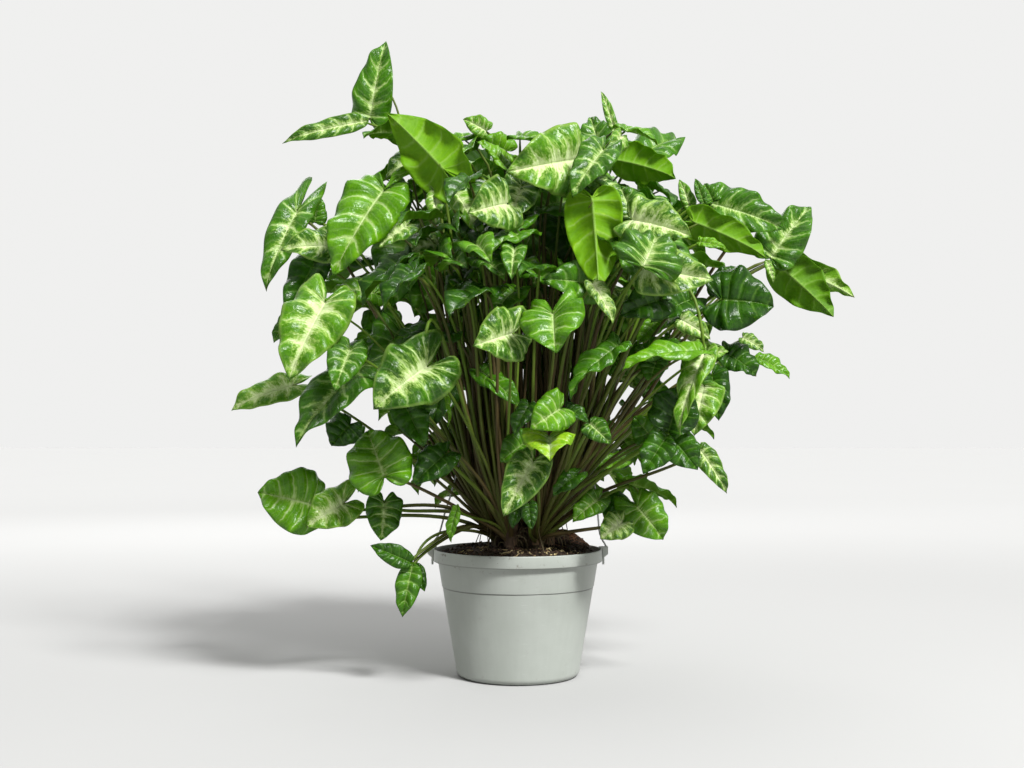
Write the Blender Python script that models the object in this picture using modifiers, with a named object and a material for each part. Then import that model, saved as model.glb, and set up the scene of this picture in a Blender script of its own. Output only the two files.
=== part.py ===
"""An arrowhead plant (Syngonium) in a hanging nursery pot: pot, soil, wire hanger and seven leafy shoots.

Metres, +Z up. The origin is the middle of the pot's underside and -Y is the front. The leaves at the front
are read off the front view: a reading is a place on the sheet of that view, and a depth behind the pot's axis
puts it in space. The leaves at the back follow a seeded rule.
"""

import math
import random
from typing import NamedTuple

import bmesh
import bpy
from mathutils import Matrix, Vector, noise
from mathutils.bvhtree import BVHTree

# Pot
POT_HEIGHT = 0.148
RIM_RADIUS = 0.100
RIM_BAND_HEIGHT = 0.014
RIM_EDGE = 0.0012
BODY_TOP_RADIUS = 0.095
STEP_DEPTH = 0.044
STEP_RADIUS = 0.0893
STEP_PROUD = 0.0008
BASE_RADIUS = 0.072
FOOT_ROUND = 0.007
POT_WALL = 0.0022
POT_SIDES = 36
DRAIN_HOLES = 6
DRAIN_HOLE_RADIUS = 0.0055
DRAIN_RING_RADIUS = 0.042

# Fits
FIT_GAP = 0.0003
WELD_DISTANCE = 1e-6
HOLE_SIDES = 10
PAST_FACE = 0.01

# Soil
SOIL_EDGE_Z = 0.1412
SOIL_CROWN_Z = 0.1505
MOUND_PLACE = Vector((0.058, 0.036))
MOUND_HEIGHT = 0.017
MOUND_SPREAD = 0.022
LUMP_HEIGHT = 0.0016
LUMP_SIZE = 0.012
SOIL_RINGS = 5

# Shoots
SHOOT_CENTRE = Vector((0.006, -0.004, 0.0))
SHOOT_RING_RADIUS = 0.030
STEM_FOOT_Z = 0.122
STEM_RISE = 0.040
ROOT_LOWEST = 0.006
ROOT_COVER = 0.004
ROOT_OFFSET = 0.003
STEM_FOOT_RADIUS = 0.0068
STEM_TOP_RADIUS = 0.0048
STEM_SIDES = 6
MIDDLE_SHOOT_BIAS = 1.6

# Petioles: a cubic curve whose handles are shares of the way from root to blade
PETIOLE_FOOT_RADIUS = 0.0023
PETIOLE_TOP_RADIUS = 0.0014
PETIOLE_POINTS = 4
PETIOLE_RADII = [
    PETIOLE_FOOT_RADIUS + (PETIOLE_TOP_RADIUS - PETIOLE_FOOT_RADIUS) * i / (PETIOLE_POINTS - 1)
    for i in range(PETIOLE_POINTS)
]
START_RISE = 0.27
START_SPREAD = 0.20
ARRIVAL_REACH = 0.24
ARRIVAL_SLOPE = 0.35
VIA_SHARE = 0.6
VIA_DEPTH_SHARE = 0.7

# Blades: half-outlines from the petiole to the tip, as shares of the length and the width
BLADE_THICKNESS = 0.0009
SPINE_SHARE = 0.45
SEAT_SHARE = 0.05
STRAP = 0.04
STRAP_OUTLINE = ((0.07, 0.32), (0.36, 0.5), (0.72, 0.33))
LOBE_SPREAD = 0.27
ARROW_OUTLINE = ((0.06, 0.5), (0.56, 0.40))
CLEARANCE = 0.0007
SLIDES = (0, -8, 8, -16, 16, -26, 26, -38, 38, -52, 52)

# Hanger
WIRE_RADIUS = 0.0011
HOOK_WIRE_RADIUS = 0.0014
SLEEVE_RADIUS = 0.0055
SLEEVE_FOOT_Z = 0.526
SLEEVE_TOP_Z = 0.544
SLEEVE_SIDES = 16
LEG_SEAT_RADIUS = 0.0031
LEG_POINTS = 11
LEG_HOLE_DEPTH = 0.008
HOOK_HOLE_DEPTH = 0.005
HOOK_RISE_Z = 0.572
HOOK_BEND_RADIUS = 0.010
HOOK_STEP = 20
HOOK_STEPS = 11
CLIP_WIDTH = 0.006
CLIP_WALL = 0.0022
CLIP_DROP = 0.019
CLIP_LIP = 0.0013
CLIP_LIP_DROP = 0.0032
CLIP_BOSS = 0.0068
BOSS_DROP = 0.0067
BOSS_FOOT_DROP = 0.0105
CLIP_SOFT_EDGE = 0.0004
WIRE_SEAT_DEPTH = 0.0032
LEG_END_RUN = 0.006
LEG_BENDS = {
    "left": (180, ((0.0935, 0.166), (0.0855, 0.196), (0.077, 0.222), (0.036, 0.380))),
    "right": (0, ((0.097, 0.168), (0.093, 0.211), (0.0806, 0.266), (0.040, 0.400))),
    "rear": (90, ((0.097, 0.168), (0.088, 0.215), (0.070, 0.280), (0.034, 0.400))),
}

# Front view: the eye that the readings were taken from, and its sheet of 1024 by 768 units
EYE = Vector((-0.007, -1.5, 0.2875))
EYE_PITCH = math.radians(2.14)
EYE_FOCAL = 1257.0
SHEET_MIDDLE = (512, 384)
SIDE_FALL = -0.15

# Back leaves: the crown's rounded shape behind the shoots, and the ranges of the seeded rule
BACK_SEED = 7
BACK_LEAVES = 36
GOLDEN_SHARE = 0.618034
BACK_FIRST_AZIMUTH = 15
BACK_SWEEP = 150
BACK_LOW_Z = 0.21
BACK_RISE = 0.43
BACK_RISE_POWER = 0.8
CROWN_MIDDLE_Z = 0.42
CROWN_HALF_HEIGHT = 0.30
CROWN_RADIUS = 0.265
CROWN_LEAST_SHARE = 0.08
BACK_REACH_SHARES = (0.15, 1.0)
BACK_SWING = (-50, 50)
BACK_DROP = (-1.0, -0.1)
BACK_TOP_SHARE = 0.85
BACK_TOP_DROP = (-0.4, 0.5)
BACK_LENGTH = (0.066, 0.104)
BACK_WIDTH_SHARE = (0.66, 0.88)
BACK_LOBE = (0.15, 0.4)
BACK_FOLD = (8, 22)
BACK_DROOP = (15, 50)
BACK_FACE_OUT = 0.9


class Reading(NamedTuple):
    """One leaf read off the front view: places on its sheet, depth and width in millimetres.

    base is where the petiole meets the blade and tip is the blade's point. lean turns the tip towards the
    viewer and turn rolls the upper face from the viewer to the sky (180 shows the underside), in degrees.
    """

    base: tuple
    tip: tuple
    depth: float
    lean: float
    turn: float
    width: float
    lobe: float = 0.28
    fold: float = 14.0
    droop: float = 30.0
    via: tuple = ()


class Leaf(NamedTuple):
    """One leaf in space, and the direction that it may be slid along to clear its neighbours."""

    base: Vector
    tip: Vector
    face: Vector
    width: float
    lobe: float
    fold: float
    droop: float
    via: tuple
    slide: Vector


READINGS = (
    # Upper left
    Reading((370, 118), (386, 39), -10, 5, 12, 50, lobe=0.12, via=(412, 170)),
    Reading((368, 121), (281, 142), -6, 8, 20, 26, lobe=STRAP),
    Reading((297, 212), (264, 291), -20, 10, 25, 46, lobe=0.55),
    Reading((315, 222), (318, 197), 10, -20, 0, 28, lobe=0.1),
    Reading((384, 190), (332, 277), -70, 15, 20, 78, lobe=0.1),
    Reading((342, 247), (280, 249), -50, 20, 25, 50, lobe=0.1),
    Reading((315, 262), (287, 319), -30, 15, 15, 46),
    Reading((291, 316), (273, 343), -10, 5, 20, 22, lobe=0.1),
    Reading((325, 303), (288, 380), -125, 20, 15, 76),
    Reading((292, 386), (230, 410), -40, 5, 30, 40, lobe=0.35, via=(345, 405)),
    Reading((362, 366), (294, 446), -105, 20, 35, 66),
    Reading((350, 350), (335, 391), -140, 30, 10, 42),
    Reading((374, 294), (330, 291), -60, 20, 50, 40),
    Reading((407, 226), (378, 248), -75, 25, 25, 32),
    Reading((385, 228), (379, 210), -30, -10, 0, 24, lobe=0.1),
    Reading((425, 152), (385, 178), -20, 20, 30, 40),
    Reading((428, 160), (383, 190), -60, 15, 40, 20, lobe=0.1),
    Reading((390, 190), (404, 224), 0, 10, 10, 46),
    Reading((443, 169), (390, 115), -60, -12, 170, 72, lobe=0.38, droop=20, via=(444, 215)),
    Reading((412, 226), (391, 308), 40, 15, 10, 82),
    Reading((438, 243), (405, 255), -100, 20, 35, 24, lobe=0.1),
    Reading((437, 192), (436, 225), -90, 20, -20, 24, lobe=0.15),
    Reading((456, 194), (481, 240), -110, 20, 30, 34, lobe=0.1),
    Reading((466, 236), (486, 300), 50, 15, 10, 78),
    Reading((440, 276), (414, 317), 40, 15, 10, 62),
    # Upper middle
    Reading((486, 131), (463, 119), -50, 10, 20, 28, lobe=0.1),
    Reading((506, 151), (480, 139), -55, 10, 20, 36),
    Reading((505, 167), (477, 141), -80, 5, 60, 26, lobe=0.1),
    Reading((578, 160), (506, 172), -110, 25, 8, 84, lobe=0.15),
    Reading((507, 204), (468, 213), -150, 30, 10, 64, lobe=0.1),
    Reading((522, 187), (508, 226), -120, 15, 15, 46),
    Reading((584, 201), (513, 214), -85, 15, 40, 62),
    Reading((600, 150), (590, 115), -80, -20, 0, 42, lobe=0.1),
    Reading((603, 150), (572, 197), -125, 20, 20, 44),
    Reading((615, 133), (601, 90), -60, 0, 10, 13, lobe=STRAP),
    Reading((621, 136), (606, 160), -105, 20, -20, 24, lobe=0.1),
    Reading((611, 159), (678, 178), -60, 5, 160, 52, lobe=STRAP, droop=40),
    Reading((592, 198), (599, 289), -165, 6, 176, 66, lobe=0.12),
    # Upper right
    Reading((632, 220), (692, 236), -150, 20, 20, 58, lobe=0.15),
    Reading((634, 219), (620, 186), -140, -20, 0, 44),
    Reading((690, 206), (679, 179), -60, -5, 10, 18, lobe=0.1),
    Reading((704, 204), (695, 178), -70, -5, 10, 14, lobe=STRAP),
    Reading((713, 201), (704, 183), -50, -5, 10, 22, lobe=0.1),
    Reading((694, 222), (768, 257), -95, 0, 160, 46, lobe=0.15),
    Reading((712, 204), (786, 229), -45, 0, 20, 58, lobe=0.1),
    Reading((700, 242), (727, 249), -110, 10, 40, 16, lobe=0.1),
    Reading((771, 258), (811, 205), -20, -8, 15, 60, lobe=0.1, via=(716, 268)),
    Reading((771, 259), (835, 317), -24, 5, 165, 60, lobe=STRAP, droop=20),
    Reading((771, 259), (856, 296), -12, 5, 150, 44, lobe=STRAP, droop=10),
    Reading((766, 260), (774, 283), -30, 5, 20, 11, lobe=STRAP),
    Reading((643, 267), (657, 236), -165, -35, 0, 76, lobe=0.12),
    Reading((642, 270), (715, 280), -195, 10, 12, 56, lobe=0.1),
    Reading((722, 300), (775, 306), -110, 8, 20, 76),
    Reading((722, 292), (738, 266), -85, -15, 10, 40),
    # Middle
    Reading((512, 334), (473, 346), -190, 35, 6, 62, lobe=0.4),
    Reading((553, 314), (556, 353), -220, 30, -10, 70, lobe=0.6),
    Reading((593, 284), (614, 324), -190, 20, 30, 24, lobe=0.1),
    Reading((619, 346), (569, 396), -130, 15, 55, 46, lobe=0.1),
    Reading((592, 284), (541, 279), -165, 25, 15, 50),
    Reading((593, 277), (622, 276), -130, 20, 20, 42),
    Reading((427, 367), (373, 409), -170, 20, 14, 80, lobe=0.42, via=(450, 350)),
    Reading((440, 381), (449, 427), -140, 5, 60, 12, lobe=STRAP),
    Reading((452, 333), (398, 350), -120, 15, 50, 42, lobe=0.1),
    Reading((440, 334), (396, 338), -60, 10, 60, 40, lobe=0.1),
    Reading((445, 385), (431, 430), -100, 15, 20, 46),
    Reading((406, 408), (424, 446), -90, 15, 10, 40),
    Reading((480, 371), (522, 409), -70, 15, 30, 32, lobe=0.1, via=(460, 358)),
    Reading((549, 437), (550, 460), -185, 52, 0, 56, lobe=0.24),
    Reading((560, 409), (530, 429), -195, 20, 5, 44),
    Reading((566, 408), (589, 423), -170, 10, 40, 22, lobe=0.1),
    Reading((590, 424), (611, 444), -165, 15, 10, 28, lobe=0.1),
    Reading((533, 462), (503, 517), -165, 15, 5, 46),
    Reading((523, 444), (500, 462), -125, 15, 10, 36),
    Reading((529, 405), (514, 436), -150, 15, 30, 26, lobe=0.1),
    Reading((519, 503), (512, 529), -100, 5, 10, 18, lobe=0.1),
    Reading((529, 504), (532, 530), -110, 5, -10, 20, lobe=0.1),
    # Deeper in the crown
    Reading((545, 205), (520, 262), 30, 10, 15, 76),
    Reading((505, 225), (482, 272), 60, 10, 20, 70),
    Reading((470, 190), (440, 222), 40, 15, 20, 66),
    Reading((560, 222), (572, 268), -60, 10, 15, 62),
    Reading((630, 292), (655, 322), -20, 10, 20, 66),
    Reading((400, 330), (372, 372), -20, 10, 20, 60),
    Reading((660, 265), (690, 300), 20, 10, 20, 70),
    # Lower left
    Reading((384, 476), (367, 430), -130, -20, 0, 74),
    Reading((350, 425), (331, 446), -80, 10, 20, 46),
    Reading((312, 505), (257, 492), -60, 10, 8, 78, lobe=0.15),
    Reading((343, 504), (306, 527), -90, 15, 15, 50, lobe=0.45, via=(362, 513)),
    Reading((384, 503), (381, 541), -60, 10, 10, 44),
    Reading((413, 563), (402, 618), -75, 5, 5, 30, lobe=STRAP, via=(442, 536)),
    Reading((412, 563), (370, 545), -75, 5, 5, 26, lobe=STRAP, via=(442, 536)),
    Reading((414, 563), (425, 592), -75, 5, 5, 18, lobe=STRAP, via=(442, 536)),
    Reading((458, 505), (450, 543), -90, 5, 30, 16, lobe=STRAP),
    Reading((445, 455), (413, 485), -110, 10, 20, 42),
    # Lower right
    Reading((637, 507), (664, 540), -80, 8, 10, 52, lobe=0.5, via=(612, 490)),
    Reading((622, 523), (600, 539), -100, 15, 10, 36),
    Reading((612, 504), (640, 521), -60, 10, 20, 34),
    Reading((598, 500), (572, 522), -70, 10, 20, 32),
    Reading((620, 460), (591, 470), -30, 15, 30, 26),
    Reading((577, 475), (553, 496), -100, 10, 30, 26),
    # Middle right
    Reading((706, 352), (678, 436), -170, 5, 35, 34, lobe=0.1, via=(655, 309)),
    Reading((705, 356), (729, 351), -168, 5, 30, 16, lobe=STRAP),
    Reading((700, 352), (622, 367), -160, 10, 60, 42, lobe=0.1),
    Reading((704, 386), (694, 436), -135, 10, 5, 48, lobe=0.1),
    Reading((712, 376), (719, 421), -110, 10, 10, 38),
    Reading((727, 354), (757, 376), -90, 10, 40, 44),
    Reading((743, 338), (765, 352), -75, 5, 30, 20, lobe=0.1),
    Reading((755, 357), (790, 378), -70, 5, 50, 26, lobe=STRAP),
    Reading((668, 433), (685, 385), -145, -10, 10, 58, lobe=STRAP),
    Reading((668, 435), (643, 474), -148, 10, 10, 38, lobe=STRAP),
    Reading((669, 435), (698, 470), -148, 10, 10, 42, lobe=STRAP),
    Reading((654, 441), (633, 416), -115, -10, 10, 38),
    Reading((700, 450), (728, 494), -110, 5, 15, 26, lobe=0.1),
    Reading((646, 352), (684, 345), -90, 10, 30, 30),
    Reading((681, 320), (711, 339), -120, 10, 20, 26, lobe=0.1),
    Reading((660, 300), (620, 316), -125, 15, 20, 46),
    Reading((690, 300), (650, 322), -105, 15, 30, 46),
    Reading((657, 322), (637, 345), -60, 10, 20, 26),
    Reading((656, 362), (650, 383), -80, 10, 20, 34),
)


def collection(name):
    """A new collection in the scene."""
    made = bpy.data.collections.new(name)
    bpy.context.scene.collection.children.link(made)
    return made


def material(name, colour, roughness, metallic=0.0):
    """A Principled material."""
    made = bpy.data.materials.new(name)
    made.use_nodes = True
    shader = made.node_tree.nodes["Principled BSDF"]
    shader.inputs["Base Color"].default_value = (*colour, 1.0)
    shader.inputs["Roughness"].default_value = roughness
    shader.inputs["Metallic"].default_value = metallic
    return made


def add_object(name, mesh, home, finish=None):
    """A mesh as an object in a collection."""
    made = bpy.data.objects.new(name, mesh)
    home.objects.link(made)
    if finish:
        made.data.materials.append(finish)
    return made


def baked(obj, name, home, finish=None, weld=True):
    """The object as evaluated, its loose caps welded, as a plain mesh object that takes its place."""
    graph = bpy.context.evaluated_depsgraph_get()
    mesh = bpy.data.meshes.new_from_object(obj.evaluated_get(graph))
    mesh.name = name
    mesh.materials.clear()
    if weld:
        work = bmesh.new()
        work.from_mesh(mesh)
        bmesh.ops.remove_doubles(work, verts=work.verts, dist=WELD_DISTANCE)
        bmesh.ops.recalc_face_normals(work, faces=work.faces)
        work.to_mesh(mesh)
        work.free()
    made = add_object(name, mesh, home, finish)
    made.matrix_world = obj.matrix_world.copy()
    bpy.data.objects.remove(obj)
    return made


def turned(name, profile, home, finish=None):
    """A profile of (radius, height) points turned round the Z axis, as a mesh object."""
    mesh = bpy.data.meshes.new(name + "_profile")
    points = [(radius, 0.0, height) for radius, height in profile]
    mesh.from_pydata(points, [(i, i + 1) for i in range(len(points) - 1)], [])
    source = add_object(name + "_profile", mesh, home)
    screw = source.modifiers.new("Turn", "SCREW")
    screw.steps = POT_SIDES
    screw.render_steps = POT_SIDES
    screw.use_merge_vertices = True
    screw.merge_threshold = 1e-5
    return baked(source, name, home, finish)


def cylinder(name, radius, foot, top, place, home, sides=24, top_radius=None, finish=None):
    """An upright round bar between two heights."""
    work = bmesh.new()
    middle = Matrix.Translation((place[0], place[1], (foot + top) / 2))
    bmesh.ops.create_cone(
        work,
        cap_ends=True,
        segments=sides,
        radius1=radius,
        radius2=radius if top_radius is None else top_radius,
        depth=top - foot,
        matrix=middle,
    )
    mesh = bpy.data.meshes.new(name)
    work.to_mesh(mesh)
    work.free()
    return add_object(name, mesh, home, finish)


def line_curve(name, points, radii, resolution=0):
    """A curve through points with a round section of the radius at each."""
    curve = bpy.data.curves.new(name, "CURVE")
    curve.dimensions = "3D"
    curve.bevel_depth = 1.0
    curve.bevel_resolution = resolution
    curve.use_fill_caps = True
    spline = curve.splines.new("POLY")
    spline.points.add(len(points) - 1)
    for knot, point, radius in zip(spline.points, points, radii):
        knot.co = (*point, 1.0)
        knot.radius = radius
    return bpy.data.objects.new(name + "_line", curve)


def wire_tube(name, points, radius, home, finish):
    """A round wire through points, as a closed mesh object."""
    source = line_curve(name, points, [radius] * len(points), 1)
    home.objects.link(source)
    return baked(source, name, home, finish)


def cut(target, cutters):
    """Takes every shape in the cutters' collection from the target."""
    for cutter in cutters.objects:
        cutter.hide_render = True
        cutter.display_type = "WIRE"
    modifier = target.modifiers.new("Cut " + cutters.name, "BOOLEAN")
    modifier.operation = "DIFFERENCE"
    modifier.operand_type = "COLLECTION"
    modifier.collection = cutters
    modifier.solver = "EXACT"


def cutters_for(target, cuts):
    """The collection that the shapes to be cut from a piece go into."""
    cuts[target] = collection("cutters_" + target.name)
    return cuts[target]


def smooth_shaded(obj, angle=35):
    """Round faces shaded smooth and edges sharper than the angle kept."""
    obj.data.shade_smooth()
    obj.data.set_sharp_from_angle(angle=math.radians(angle))


def arc(middle, radius, start, end, count):
    """Points of a round corner in a profile, from one angle in degrees to another."""
    angles = [math.radians(start + (end - start) * i / (count - 1)) for i in range(count)]
    return [(middle[0] + radius * math.cos(a), middle[1] + radius * math.sin(a)) for a in angles]


def wall_radius(height):
    """The pot's outer radius at a height below the rim band."""
    step_z = POT_HEIGHT - STEP_DEPTH
    if height < step_z:
        return BASE_RADIUS + (STEP_RADIUS - BASE_RADIUS) * height / step_z
    band_z = POT_HEIGHT - RIM_BAND_HEIGHT
    share = (height - step_z) / (band_z - step_z)
    return STEP_RADIUS + STEP_PROUD + (BODY_TOP_RADIUS - STEP_RADIUS - STEP_PROUD) * share


def inner_profile(gap):
    """The pot's inside wall from the rim down to the middle of the floor, moved inwards by a gap."""
    step_z = POT_HEIGHT - STEP_DEPTH
    band_z = POT_HEIGHT - RIM_BAND_HEIGHT
    floor_z = POT_WALL + gap
    return [
        (RIM_RADIUS - POT_WALL - gap, POT_HEIGHT),
        (RIM_RADIUS - POT_WALL - gap, band_z + POT_WALL),
        (BODY_TOP_RADIUS - POT_WALL - gap, band_z),
        (STEP_RADIUS - POT_WALL - gap, step_z),
        (wall_radius(FOOT_ROUND) - POT_WALL - gap, floor_z + FOOT_ROUND),
        (wall_radius(0) - FOOT_ROUND - gap, floor_z),
        (0.0, floor_z),
    ]


def make_pot(home, cuts):
    """The moulded pot: an open turned shell with a rim band, a step line, a round foot and drain holes."""
    step_z = POT_HEIGHT - STEP_DEPTH
    band_z = POT_HEIGHT - RIM_BAND_HEIGHT
    foot = arc((BASE_RADIUS - FOOT_ROUND, FOOT_ROUND), FOOT_ROUND, 0, -90, 5)
    outer = [
        (RIM_RADIUS - RIM_EDGE, POT_HEIGHT),
        (RIM_RADIUS, POT_HEIGHT - RIM_EDGE),
        (RIM_RADIUS, band_z),
        (BODY_TOP_RADIUS, band_z),
        (STEP_RADIUS + STEP_PROUD, step_z + STEP_PROUD),
        (STEP_RADIUS, step_z),
        *foot,
        (0.0, 0.0),
    ]
    inner = inner_profile(0.0)
    profile = [*inner[::-1], *outer]
    pot = turned("pot", profile, home, material("pot_plastic", (0.62, 0.66, 0.62), 0.45))
    cutters = cutters_for(pot, cuts)
    for index in range(DRAIN_HOLES):
        angle = 2 * math.pi * (index + 0.5) / DRAIN_HOLES
        place = (DRAIN_RING_RADIUS * math.cos(angle), DRAIN_RING_RADIUS * math.sin(angle))
        name = f"drain_hole_{index}"
        cylinder(name, DRAIN_HOLE_RADIUS, -PAST_FACE, POT_WALL + PAST_FACE, place, cutters, sides=12)
    smooth_shaded(pot)
    return pot


def soil_top(x, y):
    """Height of the soil's smooth surface."""
    share = min(1.0, math.hypot(x, y) / (RIM_RADIUS - POT_WALL))
    crown = SOIL_EDGE_Z + (SOIL_CROWN_Z - SOIL_EDGE_Z) * (1 - share**4)
    offset = (Vector((x, y)) - MOUND_PLACE).length / MOUND_SPREAD
    inside = 1 - share**12
    return crown + MOUND_HEIGHT * math.exp(-offset * offset / 2) * inside


def make_soil(home, cuts, shoots):
    """The soil: a body that fills the pot, with a lumpy top and a plain hole for each stem."""
    side = [point for point in inner_profile(FIT_GAP) if point[1] < SOIL_EDGE_Z]
    edge_radius = RIM_RADIUS - POT_WALL - FIT_GAP
    top = [(edge_radius * i / SOIL_RINGS, SOIL_EDGE_Z) for i in range(SOIL_RINGS + 1)]
    soil = turned("soil", [*top, *side], home, material("potting_soil", (0.035, 0.022, 0.015), 0.95))
    for vertex in soil.data.vertices:
        if vertex.co.z < SOIL_EDGE_Z - 1e-6:
            continue
        x, y, _ = vertex.co
        lump = noise.noise(Vector((x, y, 0.0)) / LUMP_SIZE) * LUMP_HEIGHT
        inside = 1 - (math.hypot(x, y) / edge_radius) ** 8
        vertex.co.z = soil_top(x, y) + lump * inside
    cutters = cutters_for(soil, cuts)
    for name, place in shoots.items():
        hole = STEM_FOOT_RADIUS + FIT_GAP
        top = POT_HEIGHT + STEM_RISE
        cylinder(name + "_hole", hole, STEM_FOOT_Z - FIT_GAP, top, place, cutters, sides=STEM_SIDES)
    smooth_shaded(soil, 60)
    return soil


def smooth_route(points, count):
    """Points evenly spread in parameter along a Catmull-Rom curve through the given points."""
    ends = [2 * points[0] - points[1], *points, 2 * points[-1] - points[-2]]
    found = []
    for index in range(count):
        place = (len(points) - 1) * index / (count - 1)
        span = min(int(place), len(points) - 2)
        t = place - span
        a, b, c, d = ends[span : span + 4]
        cubic = 3 * b - a - 3 * c + d
        square = 2 * a - 5 * b + 4 * c - d
        found.append(0.5 * (2 * b + t * (c - a) + t * t * square + t * t * t * cubic))
    return found


def make_clip(name, azimuth, home, cuts, finish):
    """A plastic clip hooked over the rim, with a boss outside it that holds the wire's end."""
    facet = math.cos(math.pi / POT_SIDES)
    outside = RIM_RADIUS + FIT_GAP
    inside = (RIM_RADIUS - POT_WALL) * facet - FIT_GAP
    top = POT_HEIGHT + FIT_GAP
    outline = [
        (inside, top - CLIP_LIP_DROP),
        (inside, top),
        (outside, top),
        (outside, top - CLIP_DROP),
        (outside + CLIP_WALL, top - CLIP_DROP),
        (outside + CLIP_WALL, top - BOSS_FOOT_DROP),
        (outside + CLIP_BOSS, top - BOSS_DROP),
        (outside + CLIP_BOSS, top + CLIP_WALL),
        (inside - CLIP_LIP, top + CLIP_WALL),
        (inside - CLIP_LIP, top - CLIP_LIP_DROP),
    ]
    work = bmesh.new()
    for side in (-CLIP_WIDTH / 2, CLIP_WIDTH / 2):
        for radius, height in outline:
            work.verts.new((radius, side, height))
    work.verts.ensure_lookup_table()
    count = len(outline)
    work.faces.new(work.verts[:count])
    work.faces.new(work.verts[count:][::-1])
    for i in range(count):
        j = (i + 1) % count
        work.faces.new([work.verts[i], work.verts[i + count], work.verts[j + count], work.verts[j]])
    bmesh.ops.recalc_face_normals(work, faces=work.faces)
    mesh = bpy.data.meshes.new(name)
    work.to_mesh(mesh)
    work.free()
    mesh.transform(Matrix.Rotation(math.radians(azimuth), 4, "Z"))
    clip = add_object(name, mesh, home, finish)
    seat = wire_seat(azimuth)
    foot = seat.z - FIT_GAP
    top = POT_HEIGHT + CLIP_WALL + PAST_FACE
    cylinder(name + "_hole", WIRE_RADIUS + FIT_GAP, foot, top, seat, cutters_for(clip, cuts), HOLE_SIDES)
    bevel = clip.modifiers.new("Soft edges", "BEVEL")
    bevel.width = CLIP_SOFT_EDGE
    bevel.segments = 1
    bevel.limit_method = "ANGLE"
    bevel.angle_limit = math.radians(50)
    return clip


def wire_seat(azimuth):
    """Where a leg's lower end stands in its clip's boss."""
    radius = RIM_RADIUS + FIT_GAP + CLIP_WALL + (CLIP_BOSS - CLIP_WALL) / 2
    angle = math.radians(azimuth)
    return Vector((radius * math.cos(angle), radius * math.sin(angle), POT_HEIGHT - WIRE_SEAT_DEPTH))


def leg_route(azimuth, bends):
    """A leg's route: up out of the clip, through its bends (radius, height) and into the sleeve."""
    direction = Vector((math.cos(math.radians(azimuth)), math.sin(math.radians(azimuth)), 0.0))
    seat = wire_seat(azimuth)
    lift = Vector((0.0, 0.0, 1.0))
    points = [seat, seat + lift * LEG_END_RUN]
    points += [direction * radius + lift * height for radius, height in bends]
    end = direction * LEG_SEAT_RADIUS
    points.append(end + lift * (SLEEVE_FOOT_Z - 2 * LEG_END_RUN))
    points.append(end + lift * (SLEEVE_FOOT_Z + LEG_HOLE_DEPTH - FIT_GAP))
    return points


def make_hanger(home, cuts):
    """Three wire legs with their rim clips, the crimp sleeve that joins them and the hook above it."""
    wire = material("galvanised_wire", (0.62, 0.63, 0.62), 0.4, 1.0)
    plastic = material("clip_plastic", (0.42, 0.44, 0.42), 0.5)
    pieces = []
    foot, top = SLEEVE_FOOT_Z, SLEEVE_TOP_Z
    sleeve = cylinder("hanger_sleeve", SLEEVE_RADIUS, foot, top, (0, 0), home, SLEEVE_SIDES, finish=wire)
    sleeve_cutters = cutters_for(sleeve, cuts)
    hole = WIRE_RADIUS + FIT_GAP
    for side, (azimuth, bends) in LEG_BENDS.items():
        route = leg_route(azimuth, bends)
        middle = smooth_route(route[1:-1], LEG_POINTS)
        points = [route[0], *middle, route[-1]]
        pieces.append(wire_tube(f"hanger_leg_{side}", points, WIRE_RADIUS, home, wire))
        pieces.append(make_clip(f"rim_clip_{side}", azimuth, home, cuts, plastic))
        name = "leg_hole_" + side
        cylinder(name, hole, foot - PAST_FACE, foot + LEG_HOLE_DEPTH, route[-1], sleeve_cutters, HOLE_SIDES)
    hook_foot = top - HOOK_HOLE_DEPTH
    hole = HOOK_WIRE_RADIUS + FIT_GAP
    cylinder("hook_hole", hole, hook_foot, top + PAST_FACE, (0, 0), sleeve_cutters, HOLE_SIDES)
    smooth_shaded(sleeve)
    hook_points = [Vector((0.0, 0.0, hook_foot + FIT_GAP)), Vector((0.0, 0.0, HOOK_RISE_Z))]
    for index in range(1, HOOK_STEPS + 1):
        angle = math.radians(180 - HOOK_STEP * index)
        offset = Vector((1 + math.cos(angle), 0.0, math.sin(angle))) * HOOK_BEND_RADIUS
        hook_points.append(Vector((0.0, 0.0, HOOK_RISE_Z)) + offset)
    pieces.append(wire_tube("hanger_hook", hook_points, HOOK_WIRE_RADIUS, home, wire))
    pieces.append(sleeve)
    return pieces


def sight_point(place, depth):
    """The point seen at a place of the front view, at a depth behind the pot's axis."""
    across = place[0] - SHEET_MIDDLE[0]
    up = SHEET_MIDDLE[1] - place[1]
    forward = EYE_FOCAL * math.cos(EYE_PITCH) - up * math.sin(EYE_PITCH)
    rise = EYE_FOCAL * math.sin(EYE_PITCH) + up * math.cos(EYE_PITCH)
    direction = Vector((across, forward, rise))
    return EYE + direction * ((depth - EYE.y) / forward)


def leaf_from_reading(reading):
    """The leaf in space that looks from the front as it was read."""
    depth = reading.depth / 1000
    base = sight_point(reading.base, depth)
    flat_tip = sight_point(reading.tip, depth)
    reach = (flat_tip - base).length * math.tan(math.radians(reading.lean))
    tip = sight_point(reading.tip, depth - reach)
    along = (tip - base).normalized()
    viewer = (EYE - base).normalized()
    facing = (viewer - along * viewer.dot(along)).normalized()
    sideways = facing.cross(along)
    if sideways.z < SIDE_FALL:
        sideways = -sideways
    turn = math.radians(reading.turn)
    face = facing * math.cos(turn) + sideways * math.sin(turn)
    via = ()
    if reading.via:
        via = (sight_point(reading.via, depth * VIA_DEPTH_SHARE),)
    slide = (base - EYE).normalized()
    width = reading.width / 1000
    return Leaf(base, tip, face, width, reading.lobe, reading.fold, reading.droop, via, slide)


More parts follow.
